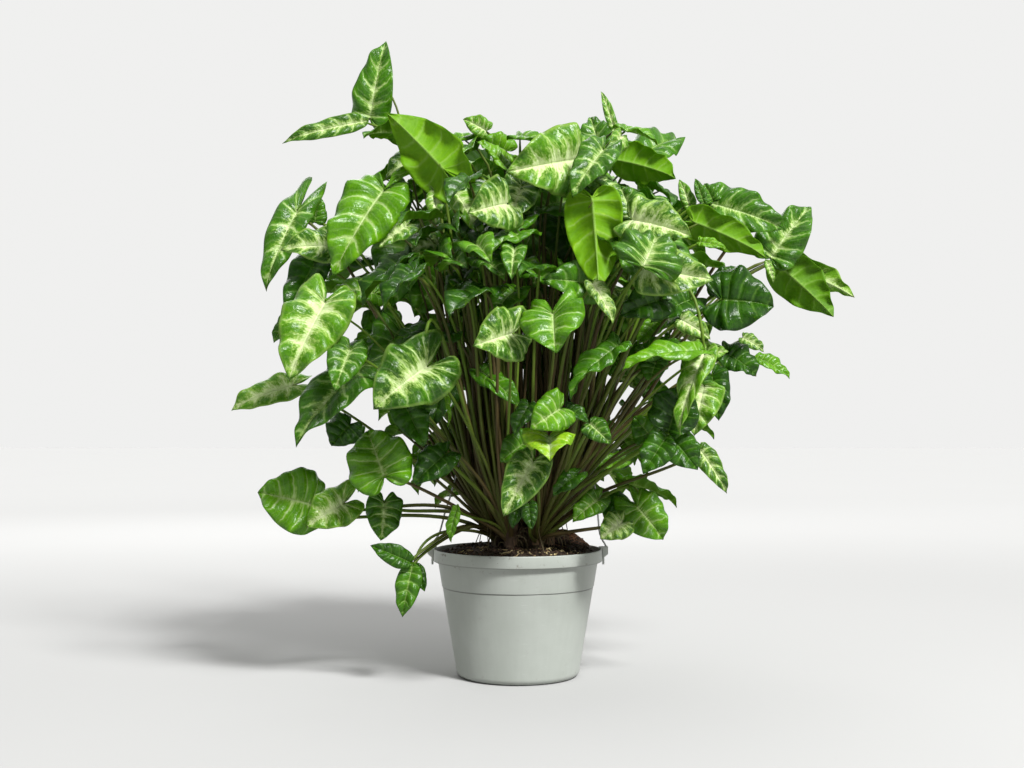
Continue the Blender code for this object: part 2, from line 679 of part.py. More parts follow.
def back_leaves():
    """The leaves at the back and the sides: spread by a seeded rule over the crown's rounded shape."""
    draw = random.Random(BACK_SEED)
    found = []
    for index in range(BACK_LEAVES):
        share = (index + 0.5) / BACK_LEAVES
        azimuth = math.radians(BACK_FIRST_AZIMUTH + BACK_SWEEP * ((index * GOLDEN_SHARE) % 1.0))
        height = BACK_LOW_Z + BACK_RISE * share**BACK_RISE_POWER
        middle = (height - CROWN_MIDDLE_Z) / CROWN_HALF_HEIGHT
        fullest = CROWN_RADIUS * math.sqrt(max(CROWN_LEAST_SHARE, 1 - middle * middle))
        reach = fullest * math.sqrt(draw.uniform(*BACK_REACH_SHARES))
        outward = Vector((math.cos(azimuth), math.sin(azimuth), 0.0))
        base = SHOOT_CENTRE + outward * reach + Vector((0.0, 0.0, height))
        swing = Matrix.Rotation(math.radians(draw.uniform(*BACK_SWING)), 3, "Z")
        drop = draw.uniform(*(BACK_DROP if share < BACK_TOP_SHARE else BACK_TOP_DROP))
        along = (swing @ outward + Vector((0.0, 0.0, drop))).normalized()
        length = draw.uniform(*BACK_LENGTH)
        upward = outward * BACK_FACE_OUT + Vector((0.0, 0.0, 1.0))
        face = (upward - along * upward.dot(along)).normalized()
        width = length * draw.uniform(*BACK_WIDTH_SHARE)
        lobe = draw.uniform(*BACK_LOBE)
        fold = draw.uniform(*BACK_FOLD)
        droop = draw.uniform(*BACK_DROOP)
        found.append(Leaf(base, base + along * length, face, width, lobe, fold, droop, (), outward))
    return found


def blade_point(leaf, x, y):
    """A point of the blade in space: x runs from the petiole to the tip, y to either side of the midrib."""
    span = leaf.tip - leaf.base
    length = span.length
    along = span / length
    side = leaf.face.cross(along)
    bend = math.radians(leaf.droop)
    radius = length / (2 * math.sin(bend / 2))
    angle = bend * (x - 0.5)
    offset = abs(y) * leaf.width
    fold = math.radians(leaf.fold)
    rise = offset * math.sin(fold)
    run = length / 2 + (radius + rise) * math.sin(angle)
    lift = (radius + rise) * math.cos(angle) - radius * math.cos(bend / 2)
    across = math.copysign(offset * math.cos(fold), y)
    return leaf.base + along * run + side * across + leaf.face * lift


def blade_outline(lobe):
    """Half of a blade's outline between the petiole and the tip, as (x, y)."""
    if lobe <= STRAP:
        return STRAP_OUTLINE
    return ((-lobe, LOBE_SPREAD), *ARROW_OUTLINE)


def blade_sheet(leaf):
    """The blade's middle surface: points, and triangles fanned about the midrib in its two halves."""
    outline = blade_outline(leaf.lobe)
    points = [blade_point(leaf, x, 0.0) for x in (0.0, SPINE_SHARE, 1.0)]
    faces = []
    for sign in (1, -1):
        first = len(points)
        points += [blade_point(leaf, x, sign * y) for x, y in outline]
        lobe, belly, waist = range(first, first + 3)
        half = ((0, lobe, belly), (0, belly, 1), (1, belly, waist), (1, waist, 2))
        faces += [face if sign > 0 else face[::-1] for face in half]
    return points, faces


def blade_mesh(leaf):
    """The blade as a closed shell, with both faces split alike."""
    points, faces = blade_sheet(leaf)
    work = bmesh.new()
    corners = [work.verts.new(point) for point in points]
    sheet = [work.faces.new([corners[i] for i in face]) for face in faces]
    work.normal_update()
    bmesh.ops.solidify(work, geom=sheet, thickness=BLADE_THICKNESS)
    bmesh.ops.recalc_face_normals(work, faces=work.faces)
    mesh = bpy.data.meshes.new("blade")
    work.to_mesh(mesh)
    work.free()
    return mesh


def petiole_route(leaf, root, count):
    """A petiole's route: up out of the stem, over, and into the blade."""
    end = blade_point(leaf, SEAT_SHARE, 0.0)
    reach = end - root
    outward = Vector((reach.x, reach.y, 0.0))
    if outward.length > 1e-6:
        outward.normalize()
    lift = Vector((0.0, 0.0, 1.0))
    arrive = (outward + lift * ARRIVAL_SLOPE).normalized()
    root = root + outward * ROOT_OFFSET
    first = root + (lift * START_RISE + outward * START_SPREAD) * reach.length
    second = end - arrive * reach.length * ARRIVAL_REACH
    if leaf.via:
        rest = 1 - VIA_SHARE
        known = root * rest**3 + first * (3 * rest**2 * VIA_SHARE) + end * VIA_SHARE**3
        second = (leaf.via[0] - known) / (3 * rest * VIA_SHARE**2)
    found = []
    for index in range(count):
        t = index / (count - 1)
        s = 1 - t
        found.append(root * s**3 + first * (3 * s * s * t) + second * (3 * s * t * t) + end * t**3)
    return found


class Shape(NamedTuple):
    """A placed piece to keep clear of, and the shoot that it belongs to."""

    shoot: str
    kind: str
    tree: BVHTree
    low: Vector
    high: Vector


def shape_of(shoot, kind, points, faces):
    """Points and faces as a shape to keep clear of."""
    low = Vector([min(point[i] for point in points) for i in range(3)])
    high = Vector([max(point[i] for point in points) for i in range(3)])
    return Shape(shoot, kind, BVHTree.FromPolygons(points, faces), low, high)


def mesh_shape(obj):
    """A finished piece as a shape to keep clear of."""
    points = [obj.matrix_world @ vertex.co for vertex in obj.data.vertices]
    return shape_of("none", "piece", points, [list(polygon.vertices) for polygon in obj.data.polygons])


def blade_shape(shoot, leaf):
    """A blade with its clearance on both faces, as a shape to keep clear of."""
    points, faces = blade_sheet(leaf)
    raised = leaf.face * (BLADE_THICKNESS / 2 + CLEARANCE)
    count = len(points)
    both = [point + raised for point in points] + [point - raised for point in points]
    return shape_of(shoot, "blade", both, faces + [tuple(i + count for i in face) for face in faces])


def stalk_shape(shoot, route, radii):
    """A petiole with its clearance, as a square tube to keep clear of."""
    points = []
    faces = []
    for index, (middle, radius) in enumerate(zip(route, radii)):
        along = route[min(index + 1, len(route) - 1)] - route[max(index - 1, 0)]
        side = along.orthogonal().normalized() * (radius + CLEARANCE)
        other = along.normalized().cross(side)
        points += [middle + side, middle + other, middle - side, middle - other]
        if index:
            ring = 4 * index
            corners = [(i, (i + 1) % 4) for i in range(4)]
            faces += [(ring + i - 4, ring + j - 4, ring + j, ring + i) for i, j in corners]
    return shape_of(shoot, "petiole", points, faces)


def crosses(candidate, placed, own_too):
    """Whether a candidate shape meets a placed one that it has to clear."""
    for shape in placed:
        own = shape.shoot == candidate.shoot
        if own and (not own_too or (candidate.kind == "petiole" and shape.kind == "petiole")):
            continue
        low, high = candidate.low, candidate.high
        apart = any(low[i] > shape.high[i] or high[i] < shape.low[i] for i in range(3))
        if not apart and candidate.tree.overlap(shape.tree):
            return True
    return False


class Crown:
    """The shoots as they fill up with leaves."""

    def __init__(self, shoots, obstacles):
        self.shoots = shoots
        self.placed = obstacles
        self.leaves = {name: [] for name in shoots}

    def nearest_shoots(self, leaf):
        """The shoots in the order of how well a petiole of theirs would reach the leaf."""
        place = Vector((leaf.base.x, leaf.base.y)) - SHOOT_CENTRE.xy

        def cost(name):
            foot = self.shoots[name].xy - SHOOT_CENTRE.xy
            if foot.length < 1e-6:
                return MIDDLE_SHOOT_BIAS * place.length / max(leaf.base.z - POT_HEIGHT, STEM_RISE)
            if place.length < 1e-6:
                return 1.0
            return place.angle(foot)

        return sorted(self.shoots, key=cost)[:3]

    def try_place(self, leaf, shoot, own_too):
        """Adds the leaf to the shoot if it clears everything that it has to."""
        foot = self.shoots[shoot]
        steep = max(0.0, (leaf.base.z - POT_HEIGHT) / (leaf.base - foot).length) ** 2
        root_z = soil_top(foot.x, foot.y) + ROOT_LOWEST + (STEM_RISE - ROOT_LOWEST - ROOT_COVER) * steep
        root = Vector((foot.x, foot.y, root_z))
        blade = blade_shape(shoot, leaf)
        if crosses(blade, self.placed, own_too):
            return False
        route = petiole_route(leaf, root, PETIOLE_POINTS)
        stalk = stalk_shape(shoot, route, PETIOLE_RADII)
        if crosses(stalk, self.placed, own_too):
            return False
        self.placed += [blade, stalk]
        self.leaves[shoot].append((leaf, route))
        return True

    def place(self, leaf, may_cross_own):
        """Adds the leaf where it clears the other shoots, sliding it a little if need be."""
        for own_too in (True, False) if may_cross_own else (True,):
            for slide in SLIDES:
                moved = leaf.slide * slide / 1000
                slid = leaf._replace(base=leaf.base + moved, tip=leaf.tip + moved)
                for shoot in self.nearest_shoots(slid):
                    if self.try_place(slid, shoot, own_too):
                        return True
        return False


def largest_shell(mesh):
    """Keeps a mesh's largest connected shell: a sealed hollow is filled and a loose scrap dropped."""
    work = bmesh.new()
    work.from_mesh(mesh)
    bmesh.ops.triangulate(work, faces=work.faces)
    unseen = set(work.faces)
    shells = []
    while unseen:
        start = unseen.pop()
        shell, edge_of = [start], [start]
        while edge_of:
            face = edge_of.pop()
            for edge in face.edges:
                for other in edge.link_faces:
                    if other in unseen:
                        unseen.remove(other)
                        shell.append(other)
                        edge_of.append(other)
        shells.append(shell)
    shells.sort(key=len)
    dropped = [face for shell in shells[:-1] for face in shell]
    bmesh.ops.delete(work, geom=dropped, context="FACES")
    work.to_mesh(mesh)
    work.free()


def fuse(name, foot, leaves, home, finish):
    """A shoot's stem, petioles and blades as one body."""
    stem = cylinder(
        name + "_stem",
        STEM_FOOT_RADIUS,
        STEM_FOOT_Z,
        soil_top(foot.x, foot.y) + STEM_RISE,
        foot,
        home,
        sides=STEM_SIDES,
        top_radius=STEM_TOP_RADIUS,
    )
    group = collection(name + "_parts")
    lines = []
    for index, (leaf, route) in enumerate(leaves):
        add_object(f"{name}_blade_{index}", blade_mesh(leaf), group)
        lines.append(line_curve(f"{name}_petiole_{index}", route, PETIOLE_RADII))
        group.objects.link(lines[-1])
    bpy.context.view_layer.update()
    for index, line in enumerate(lines):
        baked(line, f"{name}_petiole_{index}", group)
    join = stem.modifiers.new("Join", "BOOLEAN")
    join.operation = "UNION"
    join.operand_type = "COLLECTION"
    join.collection = group
    join.solver = "MANIFOLD"
    shoot = baked(stem, name, home, finish, weld=False)
    for part in list(group.objects):
        bpy.data.objects.remove(part)
    bpy.data.collections.remove(group)
    largest_shell(shoot.data)
    return shoot


def shoot_feet():
    """The place of each shoot in the soil, by name."""
    names = ("right", "rear_right", "rear_left", "left", "front_left", "front_right")
    feet = {"shoot_middle": SHOOT_CENTRE.copy()}
    for index, name in enumerate(names):
        angle = math.radians(60 * index)
        offset = Vector((math.cos(angle), math.sin(angle), 0.0)) * SHOOT_RING_RADIUS
        feet["shoot_" + name] = SHOOT_CENTRE + offset
    return feet


def main():
    """Makes the pot, soil and hanger, grows the shoots clear of them, and makes the cuts last."""
    for obj in list(bpy.data.objects):
        bpy.data.objects.remove(obj, do_unlink=True)
    home = collection("arrowhead_plant")
    feet = shoot_feet()
    cuts = {}
    pieces = [make_pot(home, cuts), make_soil(home, cuts, feet), *make_hanger(home, cuts)]
    crown = Crown(feet, [mesh_shape(piece) for piece in pieces])
    for reading in READINGS:
        crown.place(leaf_from_reading(reading), True)
    for leaf in back_leaves():
        crown.place(leaf, False)
    green = material("leaf_green", (0.10, 0.26, 0.03), 0.4)
    for name, foot in feet.items():
        fuse(name, foot, crown.leaves[name], home, green)
    for target, cutters in cuts.items():
        cut(target, cutters)


if __name__ == "__main__":
    main()
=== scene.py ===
"""Arrowhead plant in a hanging pot: its finished look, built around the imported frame."""

import logging
import math
import random
from collections.abc import Iterator, Sequence
from dataclasses import dataclass, replace
from enum import Enum
from functools import cached_property
from typing import Any

import bmesh
import bpy
import numpy as np
from mathutils import Matrix, Vector, noise
from mathutils.bvhtree import BVHTree


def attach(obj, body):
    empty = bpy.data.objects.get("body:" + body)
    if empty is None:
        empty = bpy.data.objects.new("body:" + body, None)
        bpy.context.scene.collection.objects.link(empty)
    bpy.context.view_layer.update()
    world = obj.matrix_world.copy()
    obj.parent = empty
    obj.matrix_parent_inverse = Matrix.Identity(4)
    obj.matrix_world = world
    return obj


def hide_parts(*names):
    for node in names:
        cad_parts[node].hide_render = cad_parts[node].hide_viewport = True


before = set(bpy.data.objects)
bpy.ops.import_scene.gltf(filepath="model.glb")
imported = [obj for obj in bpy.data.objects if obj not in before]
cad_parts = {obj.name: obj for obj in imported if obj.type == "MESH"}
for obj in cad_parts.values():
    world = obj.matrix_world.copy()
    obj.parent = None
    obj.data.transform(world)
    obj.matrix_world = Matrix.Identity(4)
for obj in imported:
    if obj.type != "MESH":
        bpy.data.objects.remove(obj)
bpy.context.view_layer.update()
log = logging.getLogger("arrowhead_plant")

Pair = tuple[float, float]
Colour = tuple[float, float, float]
Swellings = tuple[tuple[float, float, float], ...]
Material = bpy.types.Material
UP = Vector((0.0, 0.0, 1.0))

# Pot, in metres, origin at the centre of its underside
POT_HEIGHT = 0.148
RIM_RADIUS = 0.100
RIM_BAND_HEIGHT = 0.014
BODY_TOP_RADIUS = 0.095
STEP_DEPTH = 0.044
STEP_RADIUS = 0.0893
STEP_PROUD = 0.0008
BASE_RADIUS = 0.072
FOOT_ROUND = 0.007
POT_WALL = 0.0022
FIT_GAP = 0.0003

# Soil surface: its edge and crown, and the mound where a lump of fibre was set in
SOIL_EDGE_Z = 0.1412
SOIL_CROWN_Z = 0.1505
MOUND_PLACE = Vector((0.058, 0.036))
MOUND_HEIGHT = 0.017
MOUND_SPREAD = 0.022

# Shoots: where they stand in the soil
SHOOT_CENTRE = Vector((0.006, -0.004, 0.0))
SHOOT_RING_RADIUS = 0.030
SHOOT_RING = ("right", "rear_right", "rear_left", "left", "front_left", "front_right")

# Blades narrower at the base than this lobe are lance-shaped, and the others are arrow-shaped
STRAP = 0.04

# Side veins in each half of a blade
VEINS_A_HALF = 7.0

# Points that a curve is drawn with before it is measured out by length
CURVE_POINTS = 400

# A shoot's finishes, by number
FACE, UNDERSIDE, PETIOLE, STEM, SHEATH = range(5)

# Layers that carry a blade's own measures to its finish
VEIN_LAYER = "veins"
LOOK_LAYER = "look"
MORE_LAYER = "more"


def heading(angle: float) -> Vector:
    """The level direction at an angle about the pot's axis."""
    return Vector((math.cos(angle), math.sin(angle), 0.0))


def held_in(x: float, y: float, limit: float) -> Pair:
    """A place on the soil, drawn in towards the axis where it lies past a limit."""
    shrink = max(1.0, math.hypot(x, y) / limit)
    return x / shrink, y / shrink


@dataclass(frozen=True)
class LeafLook:
    """How a kind of leaf is coloured: its green from dark (0) to lime (1), its cream and its veins."""

    tone: float
    cream: float
    veins: float
    spread: float = 0.07


class Look(Enum):
    """The kinds of leaf that the plant bears, whose colours partly paint light: shade on leaves in shadow,
    and light coming through lime leaves.
    """

    # DARK partly paints shade on leaves in shadow; LIME and GLOWING partly paint the glow of light coming
    # through a leaf
    DARK = LeafLook(0.13, 0.04, 0.34)
    PLAIN = LeafLook(0.39, 0.16, 0.60)
    VEINED = LeafLook(0.31, 0.38, 1.00)
    BRIGHT = LeafLook(0.56, 0.28, 0.85)
    LIME = LeafLook(0.70, 0.10, 0.55)
    GLOWING = LeafLook(1.0, 0.45, 0.40)
    PALE = LeafLook(0.56, 0.72, 0.60)
    STRIPED = LeafLook(0.31, 0.60, 1.00)
    CREAM = LeafLook(0.36, 0.84, 0.75)


DARK, PLAIN, VEINED, BRIGHT, LIME, GLOWING, PALE, STRIPED, CREAM = Look


@dataclass(frozen=True)
class Reading:
    """One leaf as read off the front view, in units of its sheet, millimetres and degrees."""

    look: Look
    base: tuple[int, int]
    tip: tuple[int, int]
    depth: float
    lean: float
    turn: float
    width: float
    lobe: float = 0.28
    via: tuple[int, ...] = ()
    droop: float = 30
    fold: float = 14


# Each leaf's look follows its colour as it was seen, light included: dark looks partly paint shade on leaves
# in shadow, and lime and glowing looks partly paint light coming through the leaf
# Look, base, tip, depth, lean, turn and width, then lobe, via and droop where they aren't the usual ones
READINGS = tuple(Reading(*row) for row in (
    # Upper left
    (VEINED, (370, 118), (386, 39), -10, 5, 12, 50, 0.12, (412, 170)),
    (STRIPED, (368, 121), (281, 142), -6, 8, 20, 26, STRAP),
    (VEINED, (297, 212), (264, 291), -20, 10, 25, 46, 0.55),
    (PLAIN, (315, 222), (318, 197), 10, -20, 0, 28, 0.1),
    (BRIGHT, (384, 190), (332, 277), -70, 15, 20, 78, 0.1),
    (CREAM, (342, 247), (280, 249), -50, 20, 25, 50, 0.1),
    (DARK, (315, 262), (287, 319), -30, 15, 15, 46),
    (VEINED, (291, 316), (273, 343), -10, 5, 20, 22, 0.1),
    (PALE, (325, 303), (288, 380), -125, 20, 15, 76),
    (PALE, (292, 386), (230, 410), -40, 5, 30, 40, 0.35, (345, 405)),
    (VEINED, (362, 366), (294, 446), -105, 20, 35, 66),
    (VEINED, (350, 350), (335, 391), -140, 30, 10, 42),
    (BRIGHT, (374, 294), (330, 291), -60, 20, 50, 40),
    (STRIPED, (407, 226), (378, 248), -75, 25, 25, 32),
    (PLAIN, (385, 228), (379, 210), -30, -10, 0, 24, 0.1),
    (STRIPED, (425, 152), (385, 178), -20, 20, 30, 40),
    (LIME, (428, 160), (383, 190), -60, 15, 40, 20, 0.1),
    (DARK, (390, 190), (404, 224), 0, 10, 10, 46),
    (LIME, (443, 169), (390, 115), -60, -12, 170, 72, 0.38, (444, 215), 20),
    (PLAIN, (412, 226), (391, 308), 40, 15, 10, 82),
    (CREAM, (438, 243), (405, 255), -100, 20, 35, 24, 0.1),
    (PALE, (437, 192), (436, 225), -90, 20, -20, 24, 0.15),
    (PALE, (456, 194), (481, 240), -110, 20, 30, 34, 0.1),
    (DARK, (466, 236), (486, 300), 50, 15, 10, 78),
    (PLAIN, (440, 276), (414, 317), 40, 15, 10, 62),
    # Upper middle
    (PALE, (486, 131), (463, 119), -50, 10, 20, 28, 0.1),
    (LIME, (506, 151), (480, 139), -55, 10, 20, 36),
    (LIME, (505, 167), (477, 141), -80, 5, 60, 26, 0.1),
    (PALE, (578, 160), (506, 172), -110, 25, 8, 84, 0.15),
    (CREAM, (507, 204), (468, 213), -150, 30, 10, 64, 0.1),
    (STRIPED, (522, 187), (508, 226), -120, 15, 15, 46),
    (PLAIN, (584, 201), (513, 214), -85, 15, 40, 62),
    (VEINED, (600, 150), (590, 115), -80, -20, 0, 42, 0.1),
    (VEINED, (603, 150), (572, 197), -125, 20, 20, 44),
    (PALE, (615, 133), (601, 90), -60, 0, 10, 13, STRAP),
    (PALE, (621, 136), (606, 160), -105, 20, -20, 24, 0.1),
    (LIME, (611, 159), (678, 178), -60, 5, 160, 52, STRAP, (), 40),
    (LIME, (592, 198), (599, 289), -165, 6, 176, 66, 0.12),
    # Upper right
    (CREAM, (632, 220), (692, 236), -150, 20, 20, 58, 0.15),
    (VEINED, (634, 219), (620, 186), -140, -20, 0, 44),
    (PALE, (690, 206), (679, 179), -60, -5, 10, 18, 0.1),
    (PLAIN, (704, 204), (695, 178), -70, -5, 10, 14, STRAP),
    (PLAIN, (713, 201), (704, 183), -50, -5, 10, 22, 0.1),
    (LIME, (694, 222), (768, 257), -95, 0, 160, 46, 0.15),
    (VEINED, (712, 204), (786, 229), -45, 0, 20, 58, 0.1),
    (LIME, (700, 242), (727, 249), -110, 10, 40, 16, 0.1),
    (VEINED, (771, 258), (811, 205), -20, -8, 15, 60, 0.1, (716, 268)),
    (PLAIN, (771, 259), (835, 317), -24, 5, 165, 60, STRAP, (), 20),
    (PALE, (771, 259), (856, 296), -12, 5, 150, 44, STRAP, (), 10),
    (PALE, (766, 260), (774, 283), -30, 5, 20, 11, STRAP),
    (VEINED, (643, 267), (657, 236), -165, -35, 0, 76, 0.12),
    (CREAM, (642, 270), (715, 280), -195, 10, 12, 56, 0.1),
    (DARK, (722, 300), (775, 306), -110, 8, 20, 76),
    (DARK, (722, 292), (738, 266), -85, -15, 10, 40),
    # Middle
    (STRIPED, (512, 334), (473, 346), -190, 35, 6, 62, 0.4),
    (BRIGHT, (553, 314), (556, 353), -220, 30, -10, 70, 0.6),
    (CREAM, (593, 284), (614, 324), -190, 20, 30, 24, 0.1),
    (PLAIN, (619, 346), (569, 396), -130, 15, 55, 46, 0.1),
    (PLAIN, (592, 284), (541, 279), -165, 25, 15, 50),
    (BRIGHT, (593, 277), (622, 276), -130, 20, 20, 42),
    (STRIPED, (427, 367), (373, 409), -170, 20, 14, 80, 0.42, (450, 350)),
    (LIME, (440, 381), (449, 427), -140, 5, 60, 12, STRAP),
    (DARK, (452, 333), (398, 350), -120, 15, 50, 42, 0.1),
    (DARK, (440, 334), (396, 338), -60, 10, 60, 40, 0.1),
    (DARK, (445, 385), (431, 430), -100, 15, 20, 46),
    (DARK, (406, 408), (424, 446), -90, 15, 10, 40),
    (PLAIN, (480, 371), (522, 409), -70, 15, 30, 32, 0.1, (460, 358)),
    (GLOWING, (549, 437), (550, 460), -185, 52, 0, 56, 0.24),
    (BRIGHT, (560, 409), (530, 429), -195, 20, 5, 44),
    (DARK, (566, 408), (589, 423), -170, 10, 40, 22, 0.1),
    (VEINED, (590, 424), (611, 444), -165, 15, 10, 28, 0.1),
    (STRIPED, (533, 462), (503, 517), -165, 15, 5, 46),
    (PLAIN, (523, 444), (500, 462), -125, 15, 10, 36),
    (DARK, (529, 405), (514, 436), -150, 15, 30, 26, 0.1),
    (DARK, (519, 503), (512, 529), -100, 5, 10, 18, 0.1),
    (DARK, (529, 504), (532, 530), -110, 5, -10, 20, 0.1),
    # Deeper in the crown
    (PLAIN, (545, 205), (520, 262), 30, 10, 15, 76),
    (DARK, (505, 225), (482, 272), 60, 10, 20, 70),
    (PLAIN, (470, 190), (440, 222), 40, 15, 20, 66),
    (DARK, (560, 222), (572, 268), -60, 10, 15, 62),
    (DARK, (630, 292), (655, 322), -20, 10, 20, 66),
    (PLAIN, (400, 330), (372, 372), -20, 10, 20, 60),
    (BRIGHT, (660, 265), (690, 300), 20, 10, 20, 70),
    # Lower left
    (BRIGHT, (384, 476), (367, 430), -130, -20, 0, 74),
    (DARK, (350, 425), (331, 446), -80, 10, 20, 46),
    (BRIGHT, (312, 505), (257, 492), -60, 10, 8, 78, 0.15),
    (PALE, (343, 504), (306, 527), -90, 15, 15, 50, 0.45, (362, 513)),
    (VEINED, (384, 503), (381, 541), -60, 10, 10, 44),
    (PLAIN, (413, 563), (402, 618), -75, 5, 5, 30, STRAP, (442, 536)),
    (DARK, (412, 563), (370, 545), -75, 5, 5, 26, STRAP, (442, 536)),
    (DARK, (414, 563), (425, 592), -75, 5, 5, 18, STRAP, (442, 536)),
    (LIME, (458, 505), (450, 543), -90, 5, 30, 16, STRAP),
    (DARK, (445, 455), (413, 485), -110, 10, 20, 42),
    # Lower right
    (BRIGHT, (637, 507), (664, 540), -80, 8, 10, 52, 0.5, (612, 490)),
    (CREAM, (622, 523), (600, 539), -100, 15, 10, 36),
    (DARK, (612, 504), (640, 521), -60, 10, 20, 34),
    (BRIGHT, (598, 500), (572, 522), -70, 10, 20, 32),
    (LIME, (620, 460), (591, 470), -30, 15, 30, 26),
    (DARK, (577, 475), (553, 496), -100, 10, 30, 26),
    # Middle right
    (PALE, (706, 352), (678, 436), -170, 5, 35, 34, 0.1, (655, 309)),
    (PALE, (705, 356), (729, 351), -168, 5, 30, 16, STRAP),
    (LIME, (700, 352), (622, 367), -160, 10, 60, 42, 0.1),
    (PALE, (704, 386), (694, 436), -135, 10, 5, 48, 0.1),
    (DARK, (712, 376), (719, 421), -110, 10, 10, 38),
    (DARK, (727, 354), (757, 376), -90, 10, 40, 44),
    (CREAM, (743, 338), (765, 352), -75, 5, 30, 20, 0.1),
    (LIME, (755, 357), (790, 378), -70, 5, 50, 26, STRAP),
    (DARK, (668, 433), (685, 385), -145, -10, 10, 58, STRAP),
    (DARK, (668, 435), (643, 474), -148, 10, 10, 38, STRAP),
    (DARK, (669, 435), (698, 470), -148, 10, 10, 42, STRAP),
    (PLAIN, (654, 441), (633, 416), -115, -10, 10, 38),
    (STRIPED, (700, 450), (728, 494), -110, 5, 15, 26, 0.1),
    (PLAIN, (646, 352), (684, 345), -90, 10, 30, 30),
    (CREAM, (681, 320), (711, 339), -120, 10, 20, 26, 0.1),
    (DARK, (660, 300), (620, 316), -125, 15, 20, 46),
    (DARK, (690, 300), (650, 322), -105, 15, 30, 46),
    (LIME, (657, 322), (637, 345), -60, 10, 20, 26),
    (PLAIN, (656, 362), (650, 383), -80, 10, 20, 34),
))


@dataclass(frozen=True)
class Leaf:
    """One leaf in space: its midrib's ends, the way its face looks, and the form of its blade."""

    look: Look
    base: Vector
    tip: Vector
    face: Vector
    width: float
    lobe: float
    fold: float
    droop: float
    via: tuple[Vector, ...]
    slide: Vector

    def moved(self, distance: float) -> "Leaf":
        """The leaf, moved along its slide by a distance in metres."""
        step = self.slide * distance
        return replace(self, base=self.base + step, tip=self.tip + step)

    def place(self, x: Any, y: Any, rise: Any) -> np.ndarray:
        """Points of the bent and folded blade.

        Args:
            x: shares of the way from the petiole to the tip.
            y: shares of the width, to either side of the midrib.
            rise: heights above the midrib's surface, in metres.

        Returns:
            The points in space, with the shape of the arguments and a last axis of three.
        """
        x, y, rise = np.broadcast_arrays(np.asarray(x, float), y, rise)
        span = self.tip - self.base
        length = span.length
        along = span / length
        side = self.face.cross(along)
        bend = math.radians(self.droop)
        radius = length / (2 * math.sin(bend / 2))
        angle = bend * (x - 0.5)
        across = y * self.width * math.cos(math.radians(self.fold))
        run = length / 2 + (radius + rise) * np.sin(angle)
        lift = (radius + rise) * np.cos(angle) - radius * math.cos(bend / 2)
        ways = ((run, along), (across, side), (lift, self.face))
        return np.array(self.base) + sum(distance[..., None] * np.array(way) for distance, way in ways)

    def folded(self, x: Any, y: Any) -> np.ndarray:
        """Points of the blade with two flat halves, folded about the midrib."""
        rise = np.abs(y) * self.width * math.sin(math.radians(self.fold))
        return self.place(x, y, rise)


@dataclass(frozen=True)
class FrontView:
    """The view that the leaves were read from: its eye, and its sheet of 1024 by 768 units."""

    eye: Vector = Vector((-0.007, -1.5, 0.2875))
    pitch: float = math.radians(2.14)
    focal: float = 1257.0
    middle: tuple[int, int] = (512, 384)
    side_fall: float = -0.15
    via_depth_share: float = 0.7

    def point(self, place: Sequence[float], depth: float) -> Vector:
        """The point seen at a place of the sheet, at a depth behind the pot's axis.

        Args:
            place: the place of the sheet.
            depth: metres behind the pot's axis.

        Returns:
            The point in space.
        """
        across = place[0] - self.middle[0]
        up = self.middle[1] - place[1]
        forward = self.focal * math.cos(self.pitch) - up * math.sin(self.pitch)
        rise = self.focal * math.sin(self.pitch) + up * math.cos(self.pitch)
        return self.eye + Vector((across, forward, rise)) * ((depth - self.eye.y) / forward)

    def leaf(self, reading: Reading) -> Leaf:
        """The leaf in space that a reading describes.

        Args:
            reading: where the leaf is on the sheet, and its form.

        Returns:
            The leaf.
        """
        depth = reading.depth / 1000
        base = self.point(reading.base, depth)
        flat_tip = self.point(reading.tip, depth)
        reach = (flat_tip - base).length * math.tan(math.radians(reading.lean))
        tip = self.point(reading.tip, depth - reach)
        along = (tip - base).normalized()
        viewer = (self.eye - base).normalized()
        facing = (viewer - along * viewer.dot(along)).normalized()
        sideways = facing.cross(along)
        if sideways.z < self.side_fall:
            sideways = -sideways
        turn = math.radians(reading.turn)
        face = facing * math.cos(turn) + sideways * math.sin(turn)
        via = (self.point(reading.via, depth * self.via_depth_share),) if reading.via else ()
        slide = (base - self.eye).normalized()
        form = (reading.width / 1000, reading.lobe, reading.fold, reading.droop)
        return Leaf(reading.look, base, tip, face, *form, via, slide)


